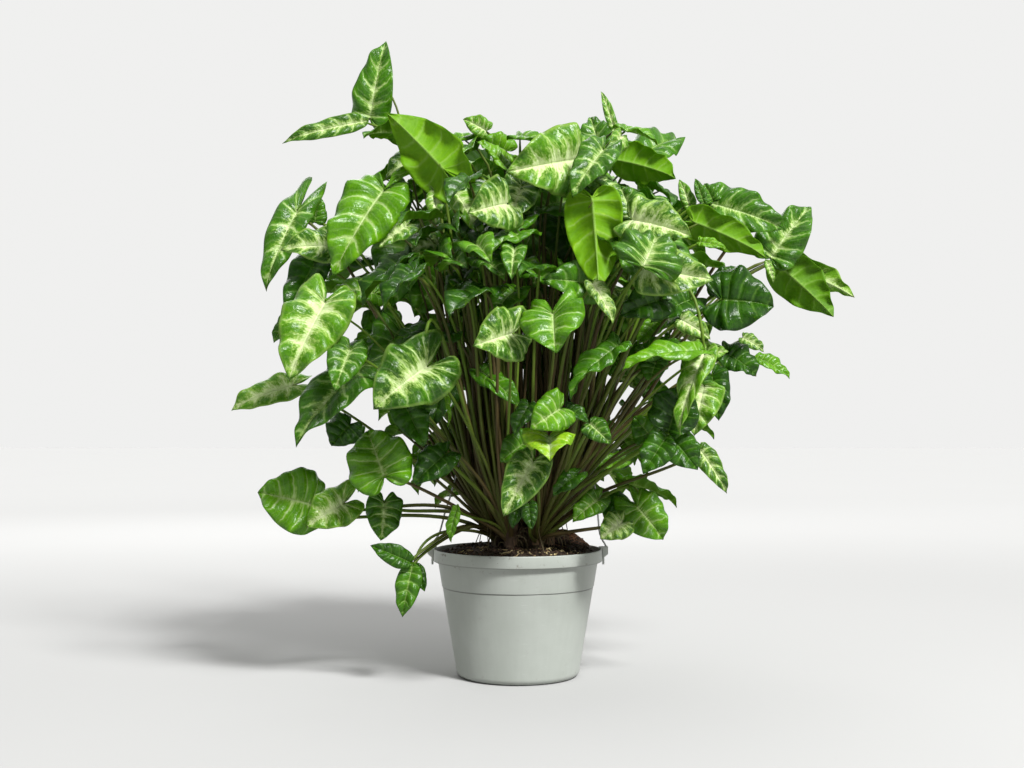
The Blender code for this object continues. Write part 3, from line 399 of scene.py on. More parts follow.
@dataclass(frozen=True)
class Rule:
    """What the seeded rules share: the crown's rounded shape, and the sizes of the blades in it."""

    seed: int
    count: int
    crown_middle_z: float
    crown_half_height: float
    crown_radius: float
    least_share: float
    reach_shares: Pair
    swing: Pair
    length: Pair
    width_share: Pair
    lobe: Pair
    fold: Pair
    droop: Pair

    def base(self, draw: random.Random, outward: Vector, height: float) -> Vector:
        """A seeded place for a leaf's base, at a height and on one side of the crown."""
        middle = (height - self.crown_middle_z) / self.crown_half_height
        fullest = self.crown_radius * math.sqrt(max(self.least_share, 1 - middle * middle))
        reach = fullest * math.sqrt(draw.uniform(*self.reach_shares))
        return SHOOT_CENTRE + outward * reach + UP * height

    def way(self, draw: random.Random, outward: Vector, drop: Pair) -> Vector:
        """A seeded way for a leaf to point: outward, swung to a side, and dropped."""
        swing = Matrix.Rotation(math.radians(draw.uniform(*self.swing)), 3, "Z")
        return (swing @ outward + UP * draw.uniform(*drop)).normalized()

    def leaf(
        self, draw: random.Random, base: Vector, along: Vector, outward: Vector, face_out: float
    ) -> Leaf:
        """A leaf with a seeded form, whose face looks up and outward.

        Args:
            draw: the rule's draws.
            base: the end of its petiole.
            along: the way that its tip points.
            outward: the way out of the crown.
            face_out: how far its face turns outward.

        Returns:
            The leaf, with a plain look.
        """
        upward = outward * face_out + UP
        face = (upward - along * upward.dot(along)).normalized()
        length = draw.uniform(*self.length)
        width = length * draw.uniform(*self.width_share)
        form = (width, draw.uniform(*self.lobe), draw.uniform(*self.fold), draw.uniform(*self.droop))
        return Leaf(PLAIN, base, base + along * length, face, *form, (), outward)


@dataclass(frozen=True)
class BackRule(Rule):
    """The rule that spreads the leaves at the back and the sides over the crown."""

    seed: int = 7
    count: int = 36
    crown_middle_z: float = 0.42
    crown_half_height: float = 0.30
    crown_radius: float = 0.265
    least_share: float = 0.08
    reach_shares: Pair = (0.15, 1.0)
    swing: Pair = (-50, 50)
    length: Pair = (0.066, 0.104)
    width_share: Pair = (0.66, 0.88)
    lobe: Pair = (0.15, 0.4)
    fold: Pair = (8, 22)
    droop: Pair = (15, 50)
    golden_share: float = 0.618034
    first_azimuth: float = 15
    sweep: float = 150
    low_z: float = 0.21
    rise: float = 0.43
    rise_power: float = 0.8
    drop: Pair = (-1.0, -0.1)
    top_share: float = 0.85
    top_drop: Pair = (-0.4, 0.5)
    face_out: float = 0.9
    look_weights: tuple[float, ...] = (3, 5, 4, 3, 1.5, 0.5, 1.5, 2, 3)

    def leaves(self) -> list[Leaf]:
        """The leaves of the rule, each with a look from a second seeded draw.

        Returns:
            The leaves, from low to high.
        """
        draw = random.Random(self.seed)
        shade = random.Random(self.seed + 1)
        found = []
        for index in range(self.count):
            share = (index + 0.5) / self.count
            azimuth = math.radians(self.first_azimuth + self.sweep * ((index * self.golden_share) % 1.0))
            outward = heading(azimuth)
            base = self.base(draw, outward, self.low_z + self.rise * share**self.rise_power)
            along = self.way(draw, outward, self.drop if share < self.top_share else self.top_drop)
            leaf = self.leaf(draw, base, along, outward, self.face_out)
            found.append(replace(leaf, look=shade.choices(list(Look), self.look_weights)[0]))
        return found


@dataclass(frozen=True)
class InnerRule(Rule):
    """The rule for the smaller leaves deep in the crown, in the room between the petioles."""

    seed: int = 11
    count: int = 170
    crown_middle_z: float = 0.44
    crown_half_height: float = 0.27
    crown_radius: float = 0.235
    least_share: float = 0.1
    reach_shares: Pair = (0.01, 0.85)
    swing: Pair = (-60, 60)
    length: Pair = (0.042, 0.082)
    width_share: Pair = (0.6, 0.85)
    lobe: Pair = (0.12, 0.4)
    fold: Pair = (8, 26)
    droop: Pair = (20, 55)
    tries: int = 9000
    heights: Pair = (0.21, 0.63)
    azimuths: Pair = (-180, 180)
    drop: Pair = (-1.3, -0.1)
    face_out: Pair = (0.4, 1.4)
    open_front_z: float = 0.43
    open_front_y: float = 0.02
    # Below bright_z the inner leaves take mostly dark looks, which partly paint the shade deep in the crown;
    # above it they take brighter ones
    bright_z: float = 0.47
    looks: tuple[Look, ...] = (DARK, PLAIN, VEINED, STRIPED, BRIGHT)
    low_weights: tuple[float, ...] = (6, 5, 2, 1, 1)
    high_weights: tuple[float, ...] = (2, 4, 4, 3, 4)
    room: float = 0.0035
    behind: float = 0.16
    over_stalks: bool = False

    def candidates(self) -> Iterator[Leaf]:
        """Leaves one after another, of which the crown takes those that have room.

        Returns:
            An iterator over the leaves.
        """
        draw = random.Random(self.seed)
        for _ in range(self.tries):
            height = draw.uniform(*self.heights)
            outward = heading(math.radians(draw.uniform(*self.azimuths)))
            base = self.base(draw, outward, height)
            if base.y < self.open_front_y and height < self.open_front_z:
                continue
            along = self.way(draw, outward, self.drop)
            leaf = self.leaf(draw, base, along, outward, draw.uniform(*self.face_out))
            weights = self.high_weights if height > self.bright_z else self.low_weights
            yield replace(leaf, look=draw.choices(self.looks, weights)[0])


INNER_RULES = (
    InnerRule(),
    InnerRule(
        # With bright_z above all of them, these leaves take the dark-heavy looks, which partly paint shade
        seed=12, count=30, tries=15000, heights=(0.45, 0.57), azimuths=(-140, -45), reach_shares=(0.02, 0.60),
        bright_z=1.0, room=0.0016, behind=0.12, over_stalks=True,
    ),
)


class Socket:
    """A value inside a finish, which takes part in sums as a number would."""

    def __init__(self, graph: "Graph", link: bpy.types.NodeSocket) -> None:
        """Keeps the graph, and the socket that the value comes out of."""
        self.graph = graph
        self.link = link

    def calculate(self, operation: str, *values: Any) -> "Socket":
        """The result of one Math node on the given values."""
        return self.graph.node("Math", {"operation": operation}, dict(enumerate(values)))

    def __add__(self, other: Any) -> "Socket":
        """This value plus another."""
        return self.calculate("ADD", self, other)

    def __sub__(self, other: Any) -> "Socket":
        """This value less another."""
        return self.calculate("SUBTRACT", self, other)

    def __rsub__(self, other: Any) -> "Socket":
        """Another value less this one."""
        return self.calculate("SUBTRACT", other, self)

    def __mul__(self, other: Any) -> "Socket":
        """This value times another."""
        return self.calculate("MULTIPLY", self, other)

    def __truediv__(self, other: Any) -> "Socket":
        """This value over another."""
        return self.calculate("DIVIDE", self, other)

    __radd__ = __add__
    __rmul__ = __mul__

    def __abs__(self) -> "Socket":
        """This value without its sign."""
        return self.calculate("ABSOLUTE", self)

    def fraction(self) -> "Socket":
        """What is left of this value past its whole number."""
        return self.calculate("FRACT", self)

    def larger(self, other: Any) -> "Socket":
        """The larger of this value and another."""
        return self.calculate("MAXIMUM", self, other)

    def step(self, low: Any, high: Any, foot: float = 0.0, top: float = 1.0) -> "Socket":
        """A soft step from foot to top, as this value goes from low to high."""
        span = {"Value": self, "From Min": low, "From Max": high, "To Min": foot, "To Max": top}
        return self.graph.node("MapRange", {"interpolation_type": "SMOOTHSTEP"}, span)


class Graph:
    """The nodes of one material or world."""

    def __init__(self, name: str, kind: str = "materials") -> None:
        """Starts an empty material of that name, or another kind of data that holds nodes."""
        self.material = getattr(bpy.data, kind).new(name)
        self.material.use_nodes = True
        self.tree = self.material.node_tree
        self.tree.nodes.clear()

    def node(self, kind: str, settings: dict[str, Any], inputs: dict[Any, Any], output: Any = 0) -> Socket:
        """Adds a node.

        Args:
            kind: the node's type, without its prefix.
            settings: what is set first, where "stops" are a ramp's places and colours.
            inputs: the values or links of its sockets, by name or number.
            output: the name or number of the socket that is given back.

        Returns:
            The node's output.
        """
        made = self.tree.nodes.new("ShaderNode" + kind)
        for name, value in settings.items():
            if name != "stops":
                setattr(made, name, value)
                continue
            elements = made.color_ramp.elements
            for index, (place, colour) in enumerate(value):
                element = elements[index] if index < 2 else elements.new(place)
                element.position = place
                element.color = (*colour, 1.0)
        for name, value in inputs.items():
            if isinstance(value, Socket):
                self.tree.links.new(value.link, made.inputs[name])
            elif isinstance(value, tuple) and made.inputs[name].type == "RGBA":
                made.inputs[name].default_value = (*value, 1.0)
            else:
                made.inputs[name].default_value = value
        return Socket(self, made.outputs[output])

    def layer(self, name: str) -> tuple[Socket, Socket]:
        """The two values of a layer that the mesh carries."""
        pair = self.node("UVMap", {"uv_map": name}, {})
        return self.parts(pair)[:2]

    def parts(self, vector: Socket) -> tuple[Socket, Socket, Socket]:
        """The three parts of a vector."""
        first = self.node("SeparateXYZ", {}, {0: vector})
        return tuple(Socket(self, output) for output in first.link.node.outputs)

    def place(self) -> Socket:
        """The place in the object's own frame, in metres."""
        return self.node("TexCoord", {}, {}, "Object")

    def cloud(self, vector: Socket, scale: float, detail: float = 3.0, rough: float = 0.55) -> Socket:
        """Soft noise from 0 to 1."""
        inputs = {"Vector": vector, "Scale": scale, "Detail": detail, "Roughness": rough}
        return self.node("TexNoise", {}, inputs)

    def streaks(self, x: Any, y: Any, z: Any, detail: float = 2.0, rough: float = 0.55) -> Socket:
        """Soft noise from 0 to 1, drawn out by a scale for each of its three parts."""
        return self.cloud(self.node("CombineXYZ", {}, {0: x, 1: y, 2: z}), 1.0, detail, rough)

    def mix(self, share: Any, first: Any, second: Any) -> Socket:
        """A colour between two others."""
        return self.node("Mix", {"data_type": "RGBA"}, {0: share, 6: first, 7: second}, 2)

    def ramp(self, value: Socket, stops: Sequence[tuple[float, Colour]]) -> Socket:
        """The colour at a value between given stops."""
        return self.node("ValToRGB", {"stops": stops}, {0: value})

    def bump(self, height: Socket, depth: float, strength: float = 1.0) -> Socket:
        """A normal from a height between 0 and 1 and a depth in metres."""
        return self.node("Bump", {}, {"Height": height, "Distance": depth, "Strength": strength})

    def finish(self, glow: Colour | None = None, share: Any = 0.0, **inputs: Any) -> Material:
        """Closes the material.

        Args:
            glow: the colour of the light that comes through, where some does.
            share: how much of the surface that light takes.
            inputs: the values or links of the main shader, with _ for a space.

        Returns:
            The finished material.
        """
        values = {name.replace("_", " "): value for name, value in inputs.items()}
        surface = self.node("BsdfPrincipled", {}, values)
        if glow is not None:
            through = self.node("BsdfTranslucent", {}, {"Color": glow})
            surface = self.node("MixShader", {}, {0: share, 1: surface, 2: through})
        return self.close("OutputMaterial", surface)

    def close(self, kind: str, surface: Socket) -> Any:
        """Links the surface to an output of that kind, and gives the finished data back."""
        made = self.tree.nodes.new("ShaderNode" + kind)
        self.tree.links.new(surface.link, made.inputs["Surface"])
        return self.material


GREENS = (
    (0.0, (0.011, 0.045, 0.002)),
    (0.33, (0.046, 0.158, 0.003)),
    (0.6, (0.102, 0.280, 0.003)),
    (0.85, (0.160, 0.365, 0.003)),
    (1.0, (0.330, 0.540, 0.015)),
)


@dataclass(frozen=True)
class BladeFinish:
    """A leaf's skin: green to lime, marbled pale green and cream along its veins, with a quilted face."""

    name: str
    under: bool
    pale: Colour = (0.325, 0.490, 0.095)
    cream: Colour = (0.690, 0.790, 0.415)
    vein: Colour = (0.180, 0.350, 0.035)
    edge: Colour = (0.120, 0.260, 0.012)
    scorch: Colour = (0.130, 0.075, 0.020)
    under_wash: Colour = (0.170, 0.330, 0.006)
    glow: Colour = (0.190, 0.480, 0.004)
    glow_share: float = 0.26

    def material(self) -> Material:
        """The finish as a material that reads the blade's own layers.

        Returns:
            The material.
        """
        graph = Graph(self.name)
        along, out = graph.layer(VEIN_LAYER)
        cream_share, tone = graph.layer(LOOK_LAYER)
        vein_share, seed = graph.layer(MORE_LAYER)
        place = graph.place()
        mottle = graph.cloud(place, 60.0, 5.0, 0.6)
        blotch = graph.cloud(place, 200.0, 4.0, 0.62)
        grain = graph.cloud(place, 900.0, 2.0)
        wander = (graph.streaks(along * 5.0, out * 2.5, seed * 70.0) - 0.5) * 0.09
        bent = along + wander * out
        streak = graph.streaks(bent * 46.0, out * 3.0, seed * 90.0, 5.0, 0.65)
        fine = graph.streaks(bent * 130.0, out * 9.0, seed * 50.0, 3.0, 0.6)
        off_vein = abs((bent * VEINS_A_HALF).fraction() - 0.5) * 2
        inside = out.step(0.0, 0.25)
        fade = out.step(0.72, 0.99, 1.0, 0.0)
        rib = out.step(0.010, 0.055, 1.0, 0.0)
        line = off_vein.step(0.03, 0.27 - out * 0.17, 1.0, 0.0) * fade
        halo = off_vein.step(0.05, 0.62, 1.0, 0.0)
        finer = abs((bent * VEINS_A_HALF * 3).fraction() - 0.5).step(0.04, 0.16, 1.0, 0.0)
        ladder = abs((out * 11.0 + along * 9.0 + mottle * 1.5).fraction() - 0.5).step(0.03, 0.12, 1.0, 0.0)
        shade = tone + (mottle - 0.5) * 0.60 + (blotch - 0.5) * 0.40
        shade = shade + (fine - 0.5) * 0.25 + (streak - 0.5) * 0.30
        shade = shade + (halo - 0.45) * 0.20 * vein_share - out * 0.07
        green = graph.ramp(shade + 0.02, GREENS)
        marbled = (streak - 0.5) * 1.9 + (fine - 0.5) * 1.2 + (blotch - 0.5) * 0.7
        reach = cream_share * 1.12 + 0.10 - off_vein * inside * (0.66 - cream_share * 0.20)
        soft = (reach - out * 0.82 + marbled).step(0.02, 0.52) * cream_share.step(0.02, 0.30)
        strong = (reach - 0.20 - out * 1.20 + marbled * 1.1).step(0.04, 0.58) * cream_share.step(0.06, 0.42)
        fleck = (fine * 0.5 + blotch * 0.5).step(0.53, 0.66) * inside
        hem = out.step(0.84, 0.97) * cream_share.step(0.3, 0.8)
        colour = graph.mix((soft * 0.90).larger(hem * 0.6), green, self.pale)
        colour = graph.mix(strong * (0.95 - fleck * 0.45), colour, self.cream)
        vein = graph.mix((tone * 0.7 + cream_share * 0.5).larger(strong), self.vein, self.cream)
        marks = (line * (streak * 0.9 + 0.25)).larger(rib * 0.9) * vein_share
        marks = marks.larger((ladder * 0.08).larger(finer * 0.13) * vein_share * fade)
        colour = graph.mix(marks * (0.6 if self.under else 1.0), colour, vein)
        colour = graph.mix(out.step(0.970, 0.995) * 0.35, colour, self.edge)
        burnt = along.step(0.965, 0.998) * graph.streaks(seed * 31.0, 0.0, 0.0, 3.0).step(0.54, 0.62)
        colour = graph.mix(burnt, colour, self.scorch)
        relief = off_vein.step(0.0, 0.80) * (1 - out * 0.5) * 0.50 + finer * -0.06 + (1 - rib) * 0.16
        pucker = graph.node("TexVoronoi", {"feature": "F1"}, {"Vector": place, "Scale": 270.0})
        relief = relief + grain * 0.06 + mottle * 0.20 + blotch * 0.24 + streak * 0.14
        relief = relief - pucker * 0.18 * inside
        if self.under:
            colour = graph.mix(0.30, colour, self.under_wash)
            return graph.finish(
                glow=self.glow, share=self.glow_share, Base_Color=colour, Roughness=0.50 + mottle * 0.14,
                Specular_IOR_Level=0.16, Normal=graph.bump(1 - relief, 0.0012, 0.9),
            )
        return graph.finish(
            glow=self.glow, share=self.glow_share, Base_Color=colour,
            Roughness=0.15 + mottle * 0.15 + soft * 0.05 + grain * 0.08, Specular_IOR_Level=0.34,
            Normal=graph.bump(relief, 0.0019, 1.0),
        )


@dataclass(frozen=True)
class StalkFinish:
    """A petiole's skin: olive and brown at its sheath, fresh green towards the blade, finely ribbed."""

    name: str = "petiole_skin"
    foot: Colour = (0.078, 0.053, 0.018)
    shank: Colour = (0.074, 0.088, 0.013)
    top: Colour = (0.110, 0.200, 0.012)
    groove: Colour = (0.022, 0.032, 0.008)
    fleck: Colour = (0.110, 0.070, 0.030)

    def material(self) -> Material:
        """The finish as a material that reads the stalk's own layers.

        Returns:
            The material.
        """
        graph = Graph(self.name)
        around, along = graph.layer(VEIN_LAYER)
        tone, _ = graph.layer(LOOK_LAYER)
        place = graph.place()
        mottle = graph.cloud(place, 60.0, 4.0)
        ribs = graph.streaks(around * 26.0, along * 5.0, tone * 40.0)
        level = along * 0.80 + (mottle - 0.5) * 0.45 + (tone - 0.5) * 0.85 + 0.06
        colour = graph.ramp(level, ((0.14, self.foot), (0.50, self.shank), (1.0, self.top)))
        colour = graph.mix(ribs.step(0.35, 0.75) * 0.45, colour, self.groove)
        fleck = graph.cloud(place, 420.0, 2.0).step(0.64, 0.70)
        colour = graph.mix(fleck * 0.35, colour, self.fleck)
        return graph.finish(
            Base_Color=colour, Roughness=0.42 + mottle * 0.2, Specular_IOR_Level=0.22,
            Normal=graph.bump(ribs * 0.8 + mottle * 0.2, 0.0004, 0.6),
        )


@dataclass(frozen=True)
class SheathFinish:
    """Dry matter: papery sheaths, fibres and old roots, in straw and brown with long streaks."""

    name: str
    pale: Colour
    dark: Colour

    def material(self) -> Material:
        """The finish as a material that reads the piece's own layers.

        Returns:
            The material.
        """
        graph = Graph(self.name)
        around, along = graph.layer(VEIN_LAYER)
        tone, _ = graph.layer(LOOK_LAYER)
        mottle = graph.cloud(graph.place(), 120.0, 4.0)
        streak = graph.streaks(around * 30.0, along * 3.0, tone * 50.0, 3.0)
        share = (streak * 0.6 + mottle * 0.4 + (tone - 0.5) * 0.5).step(0.25, 0.8)
        colour = graph.mix(share, self.dark, self.pale)
        normal = graph.bump(streak, 0.0005, 0.8)
        return graph.finish(Base_Color=colour, Roughness=0.75 + mottle * 0.15, Normal=normal)


@dataclass(frozen=True)
class SoilFinish:
    """Moist potting soil: near black, with brown crumbs and paler specks."""

    name: str = "potting_soil_crumb"
    dark: Colour = (0.010, 0.007, 0.005)
    brown: Colour = (0.060, 0.033, 0.018)
    speck: Colour = (0.230, 0.170, 0.100)

    def material(self) -> Material:
        """The finish as a material.

        Returns:
            The material.
        """
        graph = Graph(self.name)
        place = graph.place()
        clod = graph.cloud(place, 140.0, 6.0, 0.65)
        grain = graph.cloud(place, 900.0, 3.0, 0.6)
        colour = graph.mix((clod * 0.6 + grain * 0.4).step(0.38, 0.68), self.dark, self.brown)
        bits = graph.cloud(place, 520.0, 1.0).step(0.70, 0.74)
        colour = graph.mix(bits * 0.8, colour, self.speck)
        normal = graph.bump(clod * 0.6 + grain * 0.4, 0.0014, 0.9)
        rough = 0.72 + grain * 0.2
        return graph.finish(Base_Color=colour, Roughness=rough, Specular_IOR_Level=0.3, Normal=normal)


@dataclass(frozen=True)
class PotFinish:
    """Satin moulded plastic, pale grey with a little green, with faint flow lines, soil marks and scuffs, and
    painted shade in the step's groove and under the rim band.
    """

    name: str = "pot_plastic_satin"
    body: Colour = (0.345, 0.367, 0.335)
    shade: Colour = (0.303, 0.325, 0.292)
    soil: Colour = (0.110, 0.085, 0.060)
    # line is the colour of the painted shade in the step's groove and under the rim band
    line: Colour = (0.130, 0.135, 0.120)
    scuff: Colour = (0.640, 0.670, 0.640)

    def material(self) -> Material:
        """The finish as a material.

        Returns:
            The material.
        """
        graph = Graph(self.name)
        place = graph.place()
        x, y, height = graph.parts(place)
        around = height.calculate("ARCTAN2", y, x) / (2 * math.pi)
        cloudy = graph.cloud(place, 16.0, 4.0)
        fine = graph.cloud(place, 1400.0, 2.0)
        flow = graph.streaks(around * 90.0, height * 14.0, 0.0, 3.0)
        colour = graph.mix((cloudy * 0.8 + flow * 0.2).step(0.3, 0.7), self.shade, self.body)
        step_z = POT_HEIGHT - STEP_DEPTH
        # Painted shade: a dark line in the groove at the step, and another just under the rim band's overhang
        groove = abs(height - step_z).step(0.0003, 0.0011, 1.0, 0.0)
        painted_shade_under_band = abs(height - (POT_HEIGHT - RIM_BAND_HEIGHT)).step(0.0002, 0.0016, 1.0, 0.0)
        colour = graph.mix(groove.larger(painted_shade_under_band) * 0.62, colour, self.line)
        splash = graph.cloud(place, 85.0, 5.0, 0.7)
        near_rim = height.step(POT_HEIGHT - 0.030, POT_HEIGHT - 0.001)
        near_foot = height.step(0.014, 0.001)
        dirt = splash.step(0.60, 0.72) * (near_rim.larger(near_foot) * 0.8 + 0.10)
        specks = graph.cloud(place, 460.0, 2.0).step(0.70, 0.74) * 0.6
        colour = graph.mix(dirt.larger(specks * near_rim), colour, self.soil)
        scratch = graph.streaks(around * 40.0, height * 900.0, cloudy * 2.0)
        scuff = scratch.step(0.66, 0.74) * cloudy.step(0.45, 0.7)
        colour = graph.mix(scuff * 0.22, colour, self.scuff)
        rough = 0.36 + cloudy * 0.14 + dirt * 0.30 + scuff * 0.12
        normal = graph.bump(fine * 0.25 + flow * 0.45 + scratch * 0.3, 0.00022, 0.5)
        return graph.finish(Base_Color=colour, Roughness=rough, Specular_IOR_Level=0.45, Normal=normal)


@dataclass(frozen=True)
class WireFinish:
    """Dull galvanised wire, with drawn lines along it and darker spots."""

    name: str = "galvanised_wire_dull"
    bright: Colour = (0.600, 0.610, 0.600)
    dull: Colour = (0.300, 0.310, 0.300)

    def material(self) -> Material:
        """The finish as a material that reads the wire's own layers.

        Returns:
            The material.
        """
        graph = Graph(self.name)
        around, along = graph.layer(VEIN_LAYER)
        mottle = graph.cloud(graph.place(), 240.0, 4.0)
        drawn = graph.streaks(around * 30.0, along * 6.0, 0.0)
        colour = graph.mix((mottle * 0.7 + drawn * 0.3).step(0.3, 0.7), self.dull, self.bright)
        normal = graph.bump(drawn * 0.6 + mottle * 0.4, 0.0001, 0.6)
        return graph.finish(Base_Color=colour, Metallic=0.95, Roughness=0.38 + mottle * 0.25, Normal=normal)


@dataclass(frozen=True)
class ClipFinish:
    """Matt grey moulded plastic, with dusty patches."""

    name: str = "clip_plastic_matt"
    body: Colour = (0.400, 0.420, 0.395)
    dust: Colour = (0.560, 0.560, 0.520)

    def material(self) -> Material:
        """The finish as a material.

        Returns:
            The material.
        """
        graph = Graph(self.name)
        place = graph.place()
        mottle = graph.cloud(place, 180.0, 4.0)
        fine = graph.cloud(place, 1500.0, 2.0)
        colour = graph.mix(mottle.step(0.35, 0.75) * 0.7, self.body, self.dust)
        normal = graph.bump(fine, 0.0001, 0.5)
        return graph.finish(Base_Color=colour, Roughness=0.5 + fine * 0.2, Normal=normal)


@dataclass(frozen=True)
class FloorFinish:
    """The studio's pale floor, with painted shade near the pot against the lamps' pool of light there, so it
    grows paler away from the pot, with a very faint unevenness.
    """

    name: str = "studio_floor"
    # near is darker as painted shade against the lamps' pool of light close to the pot; far matches the
    # backdrop
    near: Colour = (0.395, 0.395, 0.390)
    far: Colour = (0.612, 0.612, 0.606)
    half_way: float = 5.0

    def material(self) -> Material:
        """The finish as a material.

        Returns:
            The material.
        """
        graph = Graph(self.name)
        place = graph.place()
        x, y, _ = graph.parts(place)
        mottle = graph.cloud(place, 1.5)
        away = x * x + y * y
        share = away * away / (away * away + self.half_way**2) + (mottle - 0.5) * 0.05
        colour = graph.mix(share, self.near, self.far)
        return graph.finish(Base_Color=colour, Roughness=0.7, Specular_IOR_Level=0.0)


def smooth_line(points: Sequence[Any], count: int) -> np.ndarray:
    """Points along a smooth curve through given points, as many to each span.

    Args:
        points: the points that it passes.
        count: how many points to give.

    Returns:
        The points, by row.
    """
    known = np.array([tuple(point) for point in points], float)
    ends = np.vstack([2 * known[:1] - known[1:2], known, 2 * known[-1:] - known[-2:-1]])
    place = np.linspace(0, len(known) - 1, count)
    span = np.minimum(place.astype(int), len(known) - 2)
    t = (place - span)[:, None]
    a, b, c, d = (ends[span + step] for step in range(4))
    cubic = 3 * b - a - 3 * c + d
    square = 2 * a - 5 * b + 4 * c - d
    return 0.5 * (2 * b + t * (c - a) + t**2 * square + t**3 * cubic)


def by_length(line: np.ndarray, shares: np.ndarray) -> np.ndarray:
    """Points at given shares of a line's length."""
    steps = np.linalg.norm(np.diff(line, axis=0), axis=1)
    run = np.concatenate([[0.0], np.cumsum(steps)])
    return np.column_stack([np.interp(shares, run / run[-1], part) for part in line.T])


def swell(share: np.ndarray, swellings: Swellings) -> np.ndarray:
    """The thickness along a route, as a factor, from swellings by size, place and reach.

    Args:
        share: shares of the way along.
        swellings: size, place and reach of each.

    Returns:
        A factor for each share.
    """
    factor = np.ones_like(share)
    for size, place, reach in swellings:
        factor = factor + size * np.exp(-(((share - place) / reach) ** 2))
    return factor


def soil_top(x: float, y: float) -> float:
    """Height of the soil's smooth surface."""
    share = min(1.0, math.hypot(x, y) / (RIM_RADIUS - POT_WALL))
    crown = SOIL_EDGE_Z + (SOIL_CROWN_Z - SOIL_EDGE_Z) * (1 - share**4)
    offset = (Vector((x, y)) - MOUND_PLACE).length / MOUND_SPREAD
    return crown + MOUND_HEIGHT * math.exp(-offset * offset / 2) * (1 - share**12)


class Piece:
    """A mesh in the making: points, faces, their finishes, and the layers that the finishes read."""

    def __init__(self, name: str, finishes: Sequence[Material]) -> None:
        """Starts an empty piece with its finishes in order.

        Args:
            name: the name of its object.
            finishes: the finishes, by number.
        """
        self.name = name
        self.finishes = finishes
        self.points: list[np.ndarray] = []
        self.faces: list[list[int]] = []
        self.marks: list[int] = []
        self.layers: dict[str, list[np.ndarray]] = {VEIN_LAYER: [], LOOK_LAYER: [], MORE_LAYER: []}
        self.count = 0

    def add(
        self, points: np.ndarray, faces: Sequence[Sequence[int]], mark: int, veins: np.ndarray,
        look: Pair = (0.0, 0.5), more: Pair = (0.0, 0.5),
    ) -> None:
        """Adds points and faces.

        Args:
            points: the points in space.
            faces: each face's points, counted within these points.
            mark: the number of their finish.
            veins: the vein layer's two values at each corner, in the order of the faces.
            look: the look layer's two values.
            more: the last layer's two values.
        """
        self.faces.extend([index + self.count for index in face] for face in faces)
        self.marks.extend([mark] * len(faces))
        self.points.append(points)
        self.count += len(points)
        self.layers[VEIN_LAYER].append(veins)
        self.layers[LOOK_LAYER].append(np.tile(look, (len(veins), 1)))
        self.layers[MORE_LAYER].append(np.tile(more, (len(veins), 1)))

    def add_tube(
        self, route: np.ndarray, radii: Any, mark: int, sides: int, look: Pair = (0.0, 0.5)
    ) -> None:
        """Adds a closed tube.

        Args:
            route: the points of its middle line.
            radii: its radius, or one for each point.
            mark: the number of its finish.
            sides: the points of each ring.
            look: the look layer's two values.
        """
        route = np.asarray(route, float)
        count = len(route)
        radii = np.broadcast_to(radii, count)
        ways = np.gradient(route, axis=0)
        ways /= np.linalg.norm(ways, axis=1)[:, None]
        side = np.cross(ways[0], (0.31, 0.87, 0.38))
        rings = []
        angles = np.arange(sides) * 2 * math.pi / sides
        for place, way, radius in zip(route, ways, radii):
            side = side - way * np.dot(side, way)
            side /= np.linalg.norm(side)
            other = np.cross(way, side)
            rings.append(place + radius * (np.outer(np.cos(angles), side) + np.outer(np.sin(angles), other)))
        points = np.vstack([*rings, route[:1], route[-1:]])
        faces, corners = [], []
        for ring in range(count - 1):
            low, high = ring / (count - 1), (ring + 1) / (count - 1)
            for step in range(sides):
                after = (step + 1) % sides
                first, second = ring * sides, (ring + 1) * sides
                faces.append([first + step, first + after, second + after, second + step])
                turn = (step / sides, (step + 1) / sides)
                corners += [(turn[0], low), (turn[1], low), (turn[1], high), (turn[0], high)]
        last, foot, top = (count - 1) * sides, count * sides, count * sides + 1
        for step in range(sides):
            after = (step + 1) % sides
            faces += [[step, foot, after], [last + step, last + after, top]]
            corners += [(step / sides, 0.0)] * 3 + [(step / sides, 1.0)] * 3
        self.add(points, faces, mark, np.array(corners), look)

    def build(self, slot: str, *nodes: str) -> bpy.types.Object:
        """Makes the object, sets it on the body in the place of its nodes, and reports it.

        Args:
            slot: passed on to settle, which does not use it.
            nodes: the frame's nodes that it stands for.

        Returns:
            The object.
        """
        mesh = bpy.data.meshes.new(self.name)
        mesh.from_pydata(np.vstack(self.points).tolist(), [], self.faces)
        for finish in self.finishes:
            mesh.materials.append(finish)
        mesh.polygons.foreach_set("material_index", self.marks)
        for name, values in self.layers.items():
            layer = mesh.uv_layers.new(name=name)
            layer.data.foreach_set("uv", np.vstack(values).astype(np.float32).ravel())
        mesh.shade_smooth()
        return settle(mesh, self.name, slot, *nodes)


def linked(name: str, data: Any) -> bpy.types.Object:
    """A new object in the scene, which shows the given mesh, light or camera."""
    made = bpy.data.objects.new(name, data)
    bpy.context.scene.collection.objects.link(made)
    return made


def drawn_up(work: bmesh.types.BMesh, name: str) -> bpy.types.Mesh:
    """The mesh of a finished piece of work, which is freed."""
    mesh = bpy.data.meshes.new(name)
    work.to_mesh(mesh)
    work.free()
    return mesh


